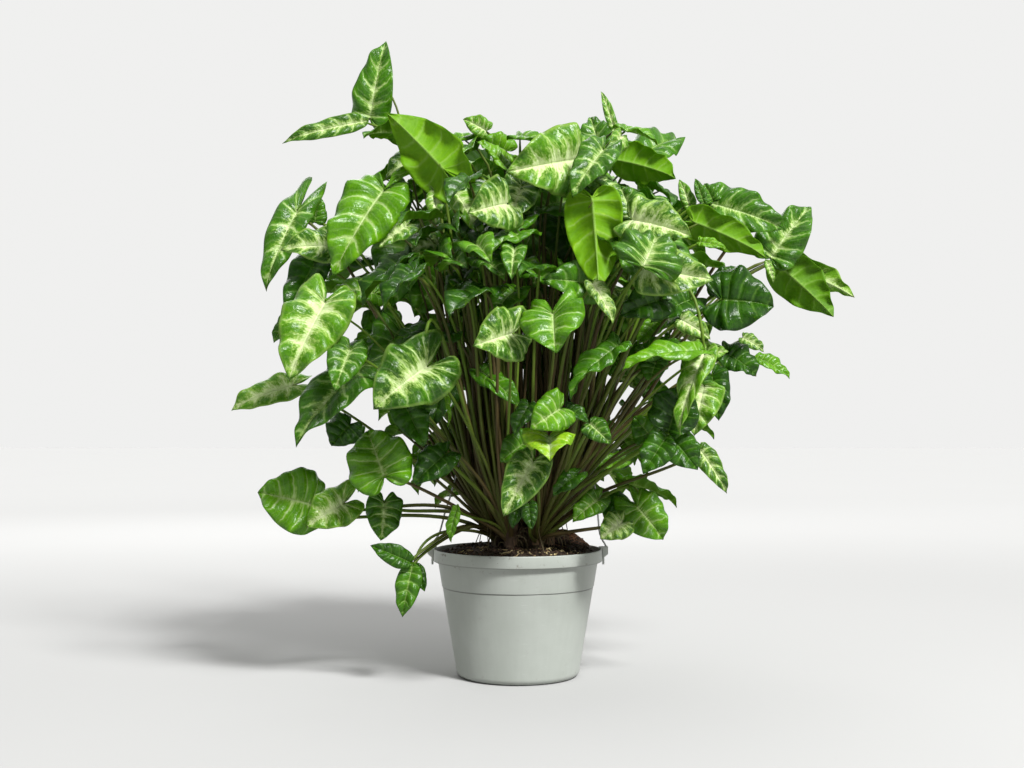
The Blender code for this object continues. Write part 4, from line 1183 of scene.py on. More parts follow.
def in_order(work: bmesh.types.BMesh, name: str) -> bpy.types.Mesh:
    """The mesh of a bevelled piece of work, in a set order, because a bevel's order changes with each run.

    Args:
        work: the finished work, which is freed.
        name: the mesh's name.

    Returns:
        The mesh, with the same points and faces.
    """
    places = sorted({tuple(vertex.co) for vertex in work.verts})
    order = {place: index for index, place in enumerate(places)}
    faces = []
    for face in work.faces:
        ring = [order[tuple(vertex.co)] for vertex in face.verts]
        start = ring.index(min(ring))
        faces.append(ring[start:] + ring[:start])
    work.free()
    mesh = bpy.data.meshes.new(name)
    mesh.from_pydata(places, [], sorted(faces))
    return mesh


def settle(mesh: bpy.types.Mesh, name: str, slot: str, *nodes: str) -> bpy.types.Object:
    """Links a mesh as a piece of the object.

    Args:
        mesh: the finished mesh, in the frame's own metres.
        name: the piece's name.
        slot: not used.
        nodes: the frame's nodes that it stands for.

    Returns:
        The piece.
    """
    piece = linked(name, mesh)
    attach(piece, "root")
    if nodes:
        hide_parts(*nodes)
    mesh.calc_loop_triangles()
    log.info("%s: %d triangles", name, len(mesh.loop_triangles))
    return piece


@dataclass(frozen=True)
class BladeGrid:
    """The grid that a blade is drawn on: columns along the margin, rows from the midrib out to it."""

    fan_steps: int = 14
    side_steps: int = 28
    rows: tuple[float, ...] = (0.0, 0.03, 0.08, 0.17, 0.30, 0.45, 0.60, 0.75, 0.89, 1.0)

    @property
    def index(self) -> np.ndarray:
        """A number for each grid point, by half, column and row."""
        shape = (2, self.fan_steps + self.side_steps + 1, len(self.rows))
        return np.arange(math.prod(shape)).reshape(shape)

    @cached_property
    def links(self) -> tuple[np.ndarray, list[list[int]], np.ndarray]:
        """How the grid's points meet.

        Returns:
            The grid points that are kept, the faces by kept point, and each face corner's grid point.
        """
        index = self.index
        _, columns, count = index.shape
        met = index.copy()
        met[1, :, 0] = met[0, :, 0]
        met[:, : self.fan_steps + 1, 0] = met[0, 0, 0]
        met[:, 0, :] = met[0, 0, 0]
        met[:, -1, :] = met[0, -1, 0]
        faces, corners = [], []
        for half in (0, 1):
            for i in range(columns - 1):
                for j in range(count - 1):
                    quad = [(half, i, j), (half, i + 1, j), (half, i + 1, j + 1), (half, i, j + 1)]
                    if half:
                        quad.reverse()
                    kept = {met[corner]: index[corner] for corner in quad}
                    if len(kept) > 2:
                        faces.append(list(kept))
                        corners.append(list(kept.values()))
        keep, flat = np.unique([point for face in faces for point in face], return_inverse=True)
        flat = iter(flat.tolist())
        faces = [[next(flat) for _ in face] for face in faces]
        return keep, faces, np.array([point for face in corners for point in face])

    @cached_property
    def margin(self) -> list[int]:
        """The kept points along the margin, all the way round from the petiole."""
        index = self.index
        way = [0, *index[0, 1:-1, -1], index[0, -1, 0], *index[1, -2:0:-1, -1]]
        return np.searchsorted(self.links[0], way).tolist()


LARGE_GRID = BladeGrid(16, 36)
FINE_GRID = BladeGrid()
SMALL_GRID = BladeGrid(8, 16, (0.0, 0.05, 0.17, 0.34, 0.55, 0.78, 1.0))


@dataclass(frozen=True)
class Blade:
    """One blade's fine form: a smooth outline with a drawn-out tip, quilted between its veins and waved."""

    leaf: Leaf
    seed: int
    inner: bool = False
    thickness: float = 0.0005
    edge_thickness: float = 0.00022
    quilt_share: float = 0.030
    wave_share: float = 0.088
    margin_wave: float = 0.026
    arch_share: float = 0.050
    tip_curl: float = 0.8
    curl_start: float = 0.72
    lobe_lift: float = 0.25
    twist: float = 20.0
    twist_centre: float = 0.4
    rib_height: float = 0.0009
    rib_width: float = 0.0013
    rib_above: float = 0.35
    small_length: float = 0.040
    large_length: float = 0.078

    @property
    def grid(self) -> BladeGrid:
        """The grid that suits the blade's size."""
        length = (self.leaf.tip - self.leaf.base).length
        if self.inner or length < self.small_length:
            return SMALL_GRID
        return LARGE_GRID if length > self.large_length else FINE_GRID

    def outline(self) -> np.ndarray:
        """Half of the blade's outline from the petiole round to the tip, close set.

        Returns:
            The outline, in shares of the length and the width.
        """
        lobe = self.leaf.lobe
        if lobe <= STRAP:
            known = [
                (0, 0), (0.02, 0.17), (0.07, 0.32), (0.20, 0.46), (0.36, 0.5),
                (0.55, 0.45), (0.72, 0.33), (0.88, 0.14), (1, 0),
            ]
        else:
            known = [
                (0, 0), (-0.45 * lobe, 0.045), (-0.88 * lobe, 0.14), (-lobe, 0.25), (-0.62 * lobe, 0.40),
                (0.06, 0.5), (0.30, 0.50), (0.56, 0.405), (0.78, 0.235), (0.91, 0.095),
                (0.965, 0.033), (1, 0),
            ]
        return smooth_line(known, CURVE_POINTS)

    def spread(self) -> tuple[np.ndarray, np.ndarray, np.ndarray, np.ndarray]:
        """The grid on the flat blade.

        Returns:
            The x and y of one half's points, and their shares along the margin and out from the midrib.
        """
        lobe = self.leaf.lobe
        fan = 0.06 if lobe <= STRAP else 0.25 + 0.35 * lobe
        grid = self.grid
        first = np.linspace(0, fan, grid.fan_steps + 1)
        s = np.concatenate([first, np.linspace(fan, 1, grid.side_steps + 1)[1:]])
        margin = by_length(self.outline(), s)
        later = np.clip((s - fan) / (1 - fan), 0, 1)
        start = np.column_stack([later**1.5, np.zeros_like(s)])
        arch = np.clip((s - 0.6 * fan) / 0.2, 0, 1)[:, None]
        way = margin - start
        middle = start + way * 0.5 + way * np.array((-0.2, 0.12)) * arch
        w = np.array(grid.rows)[None, :, None]
        flat = (1 - w) ** 2 * start[:, None] + 2 * w * (1 - w) * middle[:, None] + w**2 * margin[:, None]
        along, out = np.broadcast_arrays(s[:, None], w[..., 0])
        return flat[..., 0], flat[..., 1], along, out

    def normals(self, points: np.ndarray, faces: Sequence[Sequence[int]]) -> np.ndarray:
        """The way up at each point of the blade, from the faces that meet there.

        Args:
            points: the blade's points.
            faces: its faces.

        Returns:
            A unit vector for each point.
        """
        found = np.zeros_like(points)
        for order in ((0, 1, 2), (0, 2, -1)):
            corners = np.array([[face[k] for k in order] for face in faces]).T
            a, b, c = (points[row] for row in corners)
            for row in corners:
                np.add.at(found, row, np.cross(b - a, c - a))
        return found / np.maximum(np.linalg.norm(found, axis=1), 1e-12)[:, None]

    def add_to(self, piece: Piece, marks: tuple[int, int]) -> None:
        """Adds the blade to a piece as a thin closed shell, with an upper and a lower finish.

        Args:
            piece: the piece to add to.
            marks: the numbers of the two finishes.
        """
        leaf = self.leaf
        draw = random.Random(self.seed)
        x, y, along, out = self.spread()
        keep, faces, corners = self.grid.links
        length = (leaf.tip - leaf.base).length
        roll = math.radians(draw.uniform(-self.twist, self.twist))
        lobes = draw.uniform(-self.lobe_lift, self.lobe_lift)
        curl = draw.uniform(0.5, 1.2) * self.tip_curl
        halves = []
        for sign in (1, -1):
            wide = y * draw.uniform(0.965, 0.995)
            wave = np.sin(2 * math.pi * (along * draw.uniform(2.2, 3.6) + draw.random()))
            wave = wave + 0.5 * np.sin(2 * math.pi * (along * draw.uniform(5.0, 7.5) + draw.random()))
            wide = wide * (1 + self.margin_wave * wave * out**3)
            fold = math.sin(math.radians(leaf.fold)) * draw.uniform(0.85, 1.1)
            rise = leaf.width * fold * (1.25 * wide - 0.5 * wide**2)
            arch = np.sin(2 * math.pi * wide) - 1.4 * (2 * wide) ** 4
            rise = rise + leaf.width * self.arch_share * arch
            rise = rise + leaf.width * self.wave_share * wave * out**2 * np.sin(math.pi * along) ** 0.5
            between = np.abs((along * VEINS_A_HALF) % 1.0 - 0.5) * 2
            rise = rise + leaf.width * self.quilt_share * np.sin(between * math.pi / 2) * 4 * out * (1 - out)
            rise = rise - curl * length * np.clip(x - self.curl_start, 0, 1) ** 2
            rise = rise + lobes * length * np.clip(-x, 0, 1) ** 1.5
            rise = rise + sign * wide * leaf.width * np.tan(roll * (x - self.twist_centre))
            halves.append(leaf.place(x, sign * wide, rise))
        points = np.stack(halves).reshape(-1, 3)[keep]
        drawn = [np.tile(part.ravel(), 2)[keep] for part in (out, np.abs(y), x)]
        normals = self.normals(points, faces)
        half = (self.edge_thickness + (self.thickness - self.edge_thickness) * (1 - drawn[0] ** 3)) / 2
        rib = np.exp(-((drawn[1] * leaf.width / self.rib_width) ** 2)) * np.clip(1.02 - drawn[2], 0, 1) ** 0.7
        upper = points + normals * (half - rib * self.rib_height * self.rib_above)[:, None]
        lower = points - normals * (half + rib * self.rib_height)[:, None]
        veins = np.column_stack([np.tile(along.ravel(), 2), np.tile(out.ravel(), 2)])[corners]
        look = leaf.look.value
        shade = draw.uniform(-look.spread, look.spread)
        cream = look.cream * draw.uniform(0.85, 1.12)
        looks = ((cream, look.tone + shade), (look.veins * draw.uniform(0.8, 1.1), draw.random()))
        piece.add(upper, faces, marks[0], veins, *looks)
        first, place = [], 0
        for face in faces:
            first.append(veins[place : place + len(face)][::-1])
            place += len(face)
        count = len(points)
        rim = self.grid.margin
        edge = [[a - count, b - count, b, a] for a, b in zip(rim, rim[1:] + rim[:1])]
        band = np.tile(((0.5, 0.985),), (4 * len(edge), 1))
        piece.add(lower, [face[::-1] for face in faces] + edge, marks[1], np.vstack([*first, band]), *looks)


class Matcher:
    """Finds the shoot that carries a leaf in the frame, and how far the leaf was slid there."""

    slides = (0, -8, 8, -16, 16, -26, 26, -38, 38, -52, 52)
    spine = ((0.0, 0.0), (0.45, 0.0), (1.0, 0.0))
    strap = ((0.07, 0.32), (0.36, 0.5), (0.72, 0.33))
    arrow = ((0.06, 0.5), (0.56, 0.40))
    close = 0.0012

    def __init__(self, names: Sequence[str]) -> None:
        """Keeps a search tree of each shoot's solid.

        Args:
            names: the shoots' nodes.
        """
        self.trees = {}
        self.blades = None
        for name in names:
            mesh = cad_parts[name].data
            corners = [vertex.co for vertex in mesh.vertices]
            self.trees[name] = BVHTree.FromPolygons(corners, [face.vertices for face in mesh.polygons])

    def half(self, leaf: Leaf) -> tuple[Pair, ...]:
        """The corners of half of a leaf's solid blade, without its two ends."""
        return self.strap if leaf.lobe <= STRAP else ((-leaf.lobe, 0.27), *self.arrow)

    def spots(self, leaf: Leaf, known: Sequence[Pair]) -> list[Vector]:
        """Points of a folded blade, from their shares along it and across it."""
        x, y = np.array(known).T
        return [Vector(point) for point in leaf.folded(x, y)]

    def find(self, leaf: Leaf) -> tuple[str, Leaf] | None:
        """Finds the shoot that carries a leaf, and the leaf's true place there.

        Args:
            leaf: the leaf, before any slide.

        Returns:
            The shoot's name and the leaf, or None where no shoot carries it.
        """
        half = self.half(leaf)
        known = (*self.spine, *half, *((x, -y) for x, y in half))
        best = (self.close, None, None)
        for slide in self.slides:
            moved = leaf.moved(slide / 1000)
            points = self.spots(moved, known)
            for name, tree in self.trees.items():
                gaps = [tree.find_nearest(point)[3] for point in points[:3]]
                if max(gaps) > 4 * self.close:
                    continue
                gaps += [tree.find_nearest(point)[3] for point in points[3:]]
                if sum(gaps) / len(gaps) < best[0]:
                    best = (sum(gaps) / len(gaps), name, moved)
        return best[1:] if best[1] else None

    def meets(self, start: Vector, way: Vector, reach: float) -> bool:
        """Whether a straight line from a point meets a solid within its reach."""
        return any(tree.ray_cast(start, way, reach)[0] is not None for tree in self.trees.values())

    def keep_blades(self, leaves: Sequence[Leaf]) -> None:
        """Keeps one more search tree, of the given leaves' blades alone.

        Args:
            leaves: the leaves in their true places.
        """
        corners, faces = [], []
        for leaf in leaves:
            for sign in (1, -1):
                known = (self.spine[0], *((x, sign * y) for x, y in self.half(leaf)), self.spine[-1])
                faces.append(list(range(len(corners), len(corners) + len(known))))
                corners += self.spots(leaf, known)
        self.blades = BVHTree.FromPolygons(corners, faces)

    def clear(self, leaf: Leaf, rule: InnerRule, eye: Vector) -> bool:
        """Whether a blade has room, and doesn't hide what it shouldn't from the front.

        Args:
            leaf: the leaf to try.
            rule: the rule that it comes from, which says what it may hide.
            eye: the front view's eye.

        Returns:
            True where the leaf can stand.
        """
        known = (*self.spine, *self.arrow, *((x, -y) for x, y in self.arrow), (0.3, 0.25), (0.3, -0.25))
        points = self.spots(leaf, known)
        for tree in self.trees.values():
            if any(tree.find_nearest(point, rule.room)[0] is not None for point in points):
                return False
        hidden = 0
        for point in points:
            way = (point - eye).normalized()
            seen = not self.meets(eye, way, (point - eye).length - rule.room)
            start = point + way * rule.room
            if rule.over_stalks:
                hidden += self.blades.ray_cast(start, way, rule.behind)[0] is not None
            else:
                hidden += seen and self.meets(start, way, rule.behind)
        return hidden < 2


@dataclass
class Shoot:
    """One rooted shoot: a short stem with papery sheaths, and a petiole and a blade for each leaf."""

    name: str
    foot: Vector
    leaves: list[Leaf]
    inner: list[Leaf]
    seed: int
    finishes: Sequence[Material]
    stem_rise: float = 0.040
    stem_foot_z: float = 0.122
    stem_radii: Pair = (0.0068, 0.0048)
    root_lowest: float = 0.006
    root_cover: float = 0.004
    root_offset: float = 0.003
    petiole_radii: Pair = (0.0023, 0.0014)
    swellings: Swellings = ((0.45, 0.0, 0.09), (0.22, 0.965, 0.03))
    seat_share: float = 0.05
    seat_depth: float = 0.0011
    bow: float = 0.0065
    sway: float = 0.0050
    roots: int = 5
    root_radii: Pair = (0.0011, 0.0006)
    arching_roots: int = 6
    arching_radii: Pair = (0.0009, 0.0005)
    root_start: float = 0.004
    root_limit: float = 0.088
    sheaths: int = 9
    sheath_radius: float = 0.0076
    sheath_flute: float = 0.0012
    sheath_tip: float = 0.03
    sheath_wall: float = 0.0003
    sheath_grid: tuple[int, int] = (9, 5)

    def __post_init__(self) -> None:
        """Starts the shoot's piece and draws, and finds the soil's height at its foot."""
        self.piece = Piece(self.name + "_leafy", self.finishes)
        self.draw = random.Random(self.seed)
        self.ground = soil_top(self.foot.x, self.foot.y)

    def route(self, leaf: Leaf, rings: int) -> np.ndarray:
        """A petiole's route: up out of the stem, over, and to the underside of its blade.

        Args:
            leaf: the leaf that it carries.
            rings: how many points to give.

        Returns:
            The points, by row.
        """
        end = Vector(leaf.folded(self.seat_share, 0.0))
        steep = max(0.0, (leaf.base.z - POT_HEIGHT) / (leaf.base - self.foot).length) ** 2
        rise = self.root_lowest + (self.stem_rise - self.root_lowest - self.root_cover) * steep
        root = Vector((self.foot.x, self.foot.y, self.ground + rise))
        reach = end - root
        outward = Vector((reach.x, reach.y, 0.0))
        if outward.length > 1e-6:
            outward.normalize()
        arrive = (outward + UP * 0.35).normalized()
        root = root + outward * self.root_offset
        first = root + (UP * 0.27 + outward * 0.20) * reach.length
        second = end - arrive * reach.length * 0.24
        if leaf.via:
            share, rest = 0.6, 0.4
            known = root * rest**3 + first * (3 * rest**2 * share) + end * share**3
            second = (leaf.via[0] - known) / (3 * rest * share**2)
        t = np.linspace(0, 1, rings)[:, None]
        s = 1 - t
        line = s**3 * np.array(root) + 3 * s * s * t * np.array(first) + 3 * s * t * t * np.array(second)
        line = line + t**3 * np.array(end)
        return line - np.array(leaf.face) * self.seat_depth * np.clip((t - 0.8) / 0.2, 0, 1) ** 2

    def add_petiole(self, leaf: Leaf, rings: int = 26, sides: int = 8) -> None:
        """Adds a leaf's petiole, with its sheathing foot and the slight swelling at the blade.

        Args:
            leaf: the leaf that it carries.
            rings: the rings along it.
            sides: the points of each ring.
        """
        draw = self.draw
        route = self.route(leaf, rings)
        share = np.linspace(0, 1, rings)
        radii = self.petiole_radii[0] + (self.petiole_radii[1] - self.petiole_radii[0]) * share
        radii = radii * swell(share, self.swellings)
        radii[-1] *= 0.6
        for waves, reach in ((1, self.bow), (2, self.sway)):
            way = np.array([draw.uniform(-1, 1) for _ in range(3)]) * reach
            route = route + np.sin(waves * math.pi * share)[:, None] * way
        self.piece.add_tube(route, radii * draw.uniform(0.80, 1.22), PETIOLE, sides, (draw.random(), 0.5))

    def add_stem(self) -> None:
        """Adds the short ringed stem, and the roots that it sends down."""
        draw = self.draw
        share = np.linspace(0, 1, 30)
        height = self.stem_foot_z + (self.ground + self.stem_rise - self.stem_foot_z) * share
        radii = self.stem_radii[0] + (self.stem_radii[1] - self.stem_radii[0]) * share
        ringed = 1 + 0.07 * np.abs(np.sin(share * 22)) ** 8
        radii = radii * ringed * np.where(share > 0.96, 0.5, 1.0)
        lean = np.array((draw.uniform(-1, 1), draw.uniform(-1, 1))) * 0.0006
        route = np.column_stack([self.foot.x + lean[0] * share, self.foot.y + lean[1] * share, height])
        self.piece.add_tube(route, radii, STEM, 16, (0.45, 0.5))
        for _ in range(self.roots):
            turn = draw.uniform(0, 2 * math.pi)
            out = np.array((math.cos(turn), math.sin(turn), 0.0))
            start = np.array((self.foot.x, self.foot.y, self.ground + draw.uniform(0.004, 0.014)))
            start = start + out * self.root_start
            reach = draw.uniform(0.008, 0.014)
            bend = start + out * reach * 0.6 + np.array((0, 0, draw.uniform(-0.001, 0.003)))
            end = np.array((*(start + out * reach)[:2], self.ground - 0.004))
            line = smooth_line([start, bend, end], 10)
            self.piece.add_tube(line, np.linspace(*self.root_radii, len(line)), STEM, 6, (0.75, 0.5))

    def add_arching_roots(self) -> None:
        """Adds thin brown roots that arch out of the stem's foot and down into the soil."""
        draw = self.draw
        for _ in range(self.arching_roots):
            out = heading(draw.uniform(0, 2 * math.pi))
            side = Vector((-out.y, out.x, 0.0))
            start = Vector((self.foot.x, self.foot.y, self.ground + draw.uniform(0.006, 0.026)))
            start = start + out * self.root_start
            reach = draw.uniform(0.016, 0.040)
            known = [start]
            for share, lift in ((0.35, draw.uniform(0.001, 0.010)), (0.75, 0.002)):
                sway = side * draw.uniform(-0.006, 0.006)
                known.append(start + out * reach * share + sway + UP * lift)
            end = start + out * reach
            end = Vector((*held_in(end.x, end.y, self.root_limit), 0.0))
            known.append(end + UP * (soil_top(end.x, end.y) - 0.003))
            line = smooth_line(known, 16)
            radii = np.linspace(*self.arching_radii, len(line))
            self.piece.add_tube(line, radii, STEM, 6, (draw.uniform(0.5, 0.9), 0.5))

    def add_sheaths(self) -> None:
        """Adds papery sheaths that wrap the stem's foot and split away from it."""
        draw = self.draw
        rows, columns = self.sheath_grid
        up, side = np.meshgrid(np.linspace(0, 1, rows), np.linspace(-1, 1, columns), indexing="ij")
        rim = [row * columns for row in range(rows)]
        rim += [(rows - 1) * columns + column for column in range(1, columns)]
        rim += [row * columns + columns - 1 for row in range(rows - 2, -1, -1)]
        rim += range(columns - 2, 0, -1)
        count = rows * columns
        faces = [[b, a, a + count, b + count] for a, b in zip(rim, rim[1:] + rim[:1])]
        veins = [(0.5, 0.5)] * 4 * len(faces)
        for row in range(rows - 1):
            for column in range(columns - 1):
                first = row * columns + column
                quad = [first, first + 1, first + columns + 1, first + columns]
                faces += [quad, [point + count for point in quad[::-1]]]
                left, right = column / columns, (column + 1) / columns
                low, high = row / rows, (row + 1) / rows
                veins += [(left, low), (right, low), (right, high), (left, high)] * 2
        for index in range(self.sheaths):
            turn = 2 * math.pi * (index * 0.618 + draw.uniform(-0.05, 0.05))
            height = draw.uniform(0.018, 0.046)
            width = draw.uniform(1.1, 1.9)
            flare = draw.uniform(0.001, 0.007)
            low = self.ground - 0.002 + draw.uniform(0, 0.010)
            radius = self.sheath_radius + flare * up**2 + self.sheath_flute * side * side * up
            angle = turn + (width / 2 * (1 - up**1.6) + self.sheath_tip) * side
            points = []
            for away in (radius, radius - self.sheath_wall):
                x, y = np.cos(angle) * away + self.foot.x, np.sin(angle) * away + self.foot.y
                points.append(np.stack([x, y, low + height * up], -1).reshape(-1, 3))
            self.piece.add(np.vstack(points), faces, SHEATH, np.array(veins), (draw.random(), 0.5))

    def build(self) -> bpy.types.Object:
        """Builds the shoot as one piece.

        Returns:
            The object.
        """
        for start, leaves, inner, form in ((0, self.leaves, False, ()), (500, self.inner, True, (16, 6))):
            for index, leaf in enumerate(leaves, self.seed * 1000 + start):
                Blade(leaf, index, inner).add_to(self.piece, (FACE, UNDERSIDE))
                self.add_petiole(leaf, *form)
        self.add_stem()
        self.add_sheaths()
        self.add_arching_roots()
        return self.piece.build("leaf_green", self.name)


@dataclass
class Crown:
    """All the leaves, shared out among the shoots that carry them."""

    view: FrontView
    rule: BackRule
    inner_rules: Sequence[InnerRule]

    def feet(self) -> dict[str, Vector]:
        """The place of each shoot in the soil, by name.

        Returns:
            The shoots' places, by the names of their nodes.
        """
        found = {"shoot_middle": SHOOT_CENTRE.copy()}
        for index, name in enumerate(SHOOT_RING):
            angle = math.radians(360 / len(SHOOT_RING) * index)
            found["shoot_" + name] = SHOOT_CENTRE + heading(angle) * SHOOT_RING_RADIUS
        return found

    def build(self) -> None:
        """Finds each leaf's shoot, and builds the shoots."""
        feet = self.feet()
        matcher = Matcher(list(feet))
        carried: dict[str, list[Leaf]] = {name: [] for name in feet}
        leaves = [self.view.leaf(reading) for reading in READINGS] + self.rule.leaves()
        found = [match for match in map(matcher.find, leaves) if match]
        for name, leaf in found:
            carried[name].append(leaf)
        matcher.keep_blades([leaf for group in carried.values() for leaf in group])
        log.info("%d leaves found their shoots, %d have none", len(found), len(leaves) - len(found))
        inner = self.inner_leaves(matcher, feet)
        finishes = [
            BladeFinish("leaf_upper", False).material(),
            BladeFinish("leaf_under", True).material(),
            StalkFinish().material(),
            SheathFinish("stem_and_root", (0.160, 0.125, 0.060), (0.040, 0.030, 0.013)).material(),
            SheathFinish("papery_sheath", (0.190, 0.120, 0.060), (0.045, 0.025, 0.012)).material(),
        ]
        for index, (name, foot) in enumerate(feet.items()):
            Shoot(name, foot, carried[name], inner[name], index + 1, finishes).build()

    def inner_leaves(self, matcher: Matcher, feet: dict[str, Vector]) -> dict[str, list[Leaf]]:
        """The inner leaves that have room, by the shoot that stands on their side.

        Args:
            matcher: what tells whether a leaf has room.
            feet: the shoots' places.

        Returns:
            The leaves, by shoot.
        """
        found: dict[str, list[Leaf]] = {name: [] for name in feet}
        taken: list[Vector] = []
        for rule in self.inner_rules:
            room_for = len(taken) + rule.count
            for leaf in rule.candidates():
                middle = (leaf.base + leaf.tip) / 2
                reach = (leaf.tip - leaf.base).length * 0.55
                if any((middle - other).length < reach for other in taken):
                    continue
                if not matcher.clear(leaf, rule, self.view.eye):
                    continue
                taken.append(middle)
                near = min(feet, key=lambda name: (feet[name].xy - leaf.base.xy * 0.4).length)
                found[near].append(leaf)
                if len(taken) == room_for:
                    break
            log.info("%d inner leaves found room", len(taken))
        return found


def turned(profile: Sequence[Pair], sides: int, name: str) -> bpy.types.Mesh:
    """A closed shape turned about the pot's axis from a profile that starts and ends on it.

    Args:
        profile: radius and height of its points.
        sides: the steps of the turn.
        name: the mesh's name.

    Returns:
        The mesh.
    """
    work = bmesh.new()
    rings = []
    for radius, height in profile:
        if radius < 1e-6:
            rings.append([work.verts.new((0.0, 0.0, height))])
            continue
        angles = [2 * math.pi * side / sides for side in range(sides)]
        rings.append([work.verts.new((radius * math.cos(a), radius * math.sin(a), height)) for a in angles])
    for low, high in zip(rings, rings[1:]):
        for side in range(sides):
            after = (side + 1) % sides
            ways = ((low, side), (low, after), (high, after), (high, side))
            work.faces.new(list(dict.fromkeys(ring[place % len(ring)] for ring, place in ways)))
    bmesh.ops.recalc_face_normals(work, faces=work.faces)
    return drawn_up(work, name)


def corner(
    middle: Pair, radius: float, start: float, end: float, count: int
) -> list[Pair]:
    """Points of a round corner in a profile, from one angle in degrees to another."""
    angles = [math.radians(start + (end - start) * i / (count - 1)) for i in range(count)]
    return [(middle[0] + radius * math.cos(a), middle[1] + radius * math.sin(a)) for a in angles]


@dataclass
class Pot:
    """The moulded pot: rim band, fine step line, tapered wall, rounded foot and drain holes."""

    sides: int = 180
    rim_edge: float = 0.0011
    soft: float = 0.0006
    holes: int = 6
    hole_radius: float = 0.0055
    hole_ring: float = 0.042
    groove: float = 0.0004
    foot_rise: float = 0.0010

    def profile(self) -> list[Pair]:
        """Half of the pot's section, from the middle of its floor out, over the rim and back under.

        Returns:
            Radius and height of each point.
        """
        step_z = POT_HEIGHT - STEP_DEPTH
        band_z = POT_HEIGHT - RIM_BAND_HEIGHT
        inner_rim = RIM_RADIUS - POT_WALL
        wall = STEP_RADIUS - BASE_RADIUS
        floor_radius = BASE_RADIUS + wall * FOOT_ROUND / step_z - POT_WALL
        under = BASE_RADIUS - FOOT_ROUND
        return [
            (0.0, POT_WALL + self.foot_rise),
            (under - 0.010, POT_WALL + self.foot_rise),
            *corner((floor_radius - FOOT_ROUND, POT_WALL + FOOT_ROUND), FOOT_ROUND, -90, -5, 7),
            (STEP_RADIUS - POT_WALL, step_z),
            (BODY_TOP_RADIUS - POT_WALL, band_z),
            (inner_rim, band_z + POT_WALL),
            *corner((inner_rim + self.soft, POT_HEIGHT - self.soft), self.soft, 180, 90, 4),
            *corner((RIM_RADIUS - self.rim_edge, POT_HEIGHT - self.rim_edge), self.rim_edge, 90, 0, 6),
            *corner((RIM_RADIUS - self.soft, band_z + self.soft), self.soft, 0, -90, 4),
            (BODY_TOP_RADIUS + self.soft, band_z),
            (BODY_TOP_RADIUS - 0.0003, band_z - self.soft),
            (STEP_RADIUS + STEP_PROUD + 0.0004, step_z + 0.0040),
            *corner((STEP_RADIUS + STEP_PROUD - self.groove, step_z + 0.0012), self.groove, 0, -90, 4),
            (STEP_RADIUS - self.groove, step_z + 0.0004),
            (STEP_RADIUS - self.groove, step_z - 0.0002),
            (STEP_RADIUS - 0.0001, step_z - 0.0007),
            *corner((under + wall * FOOT_ROUND / step_z, FOOT_ROUND), FOOT_ROUND, 8, -90, 9),
            (under - 0.004, 0.0),
            (under - 0.005, self.foot_rise),
            (0.0, self.foot_rise),
        ]

    def build(self) -> bpy.types.Object:
        """Turns the pot and cuts its drain holes.

        Returns:
            The pot.
        """
        mesh = turned(self.profile(), self.sides, "pot_body")
        pot = settle(mesh, "pot_body", "pot_plastic", "pot")
        work = bmesh.new()
        for index in range(self.holes):
            angle = 2 * math.pi * (index + 0.5) / self.holes
            place = (self.hole_ring * math.cos(angle), self.hole_ring * math.sin(angle), 0.0)
            sizes = {"segments": 32, "radius1": self.hole_radius, "radius2": self.hole_radius, "depth": 0.02}
            bmesh.ops.create_cone(work, cap_ends=True, matrix=Matrix.Translation(place), **sizes)
        cutter = linked("drain_cutter", drawn_up(work, "drain_cutter"))
        cut = pot.modifiers.new("Drain holes", "BOOLEAN")
        cut.object = cutter
        cut.solver = "EXACT"
        holed = bpy.data.meshes.new_from_object(pot.evaluated_get(bpy.context.evaluated_depsgraph_get()))
        pot.modifiers.clear()
        pot.data = holed
        bpy.data.objects.remove(cutter)
        holed.materials.clear()
        holed.materials.append(PotFinish().material())
        holed.shade_smooth()
        holed.set_sharp_from_angle(angle=math.radians(40))
        return pot


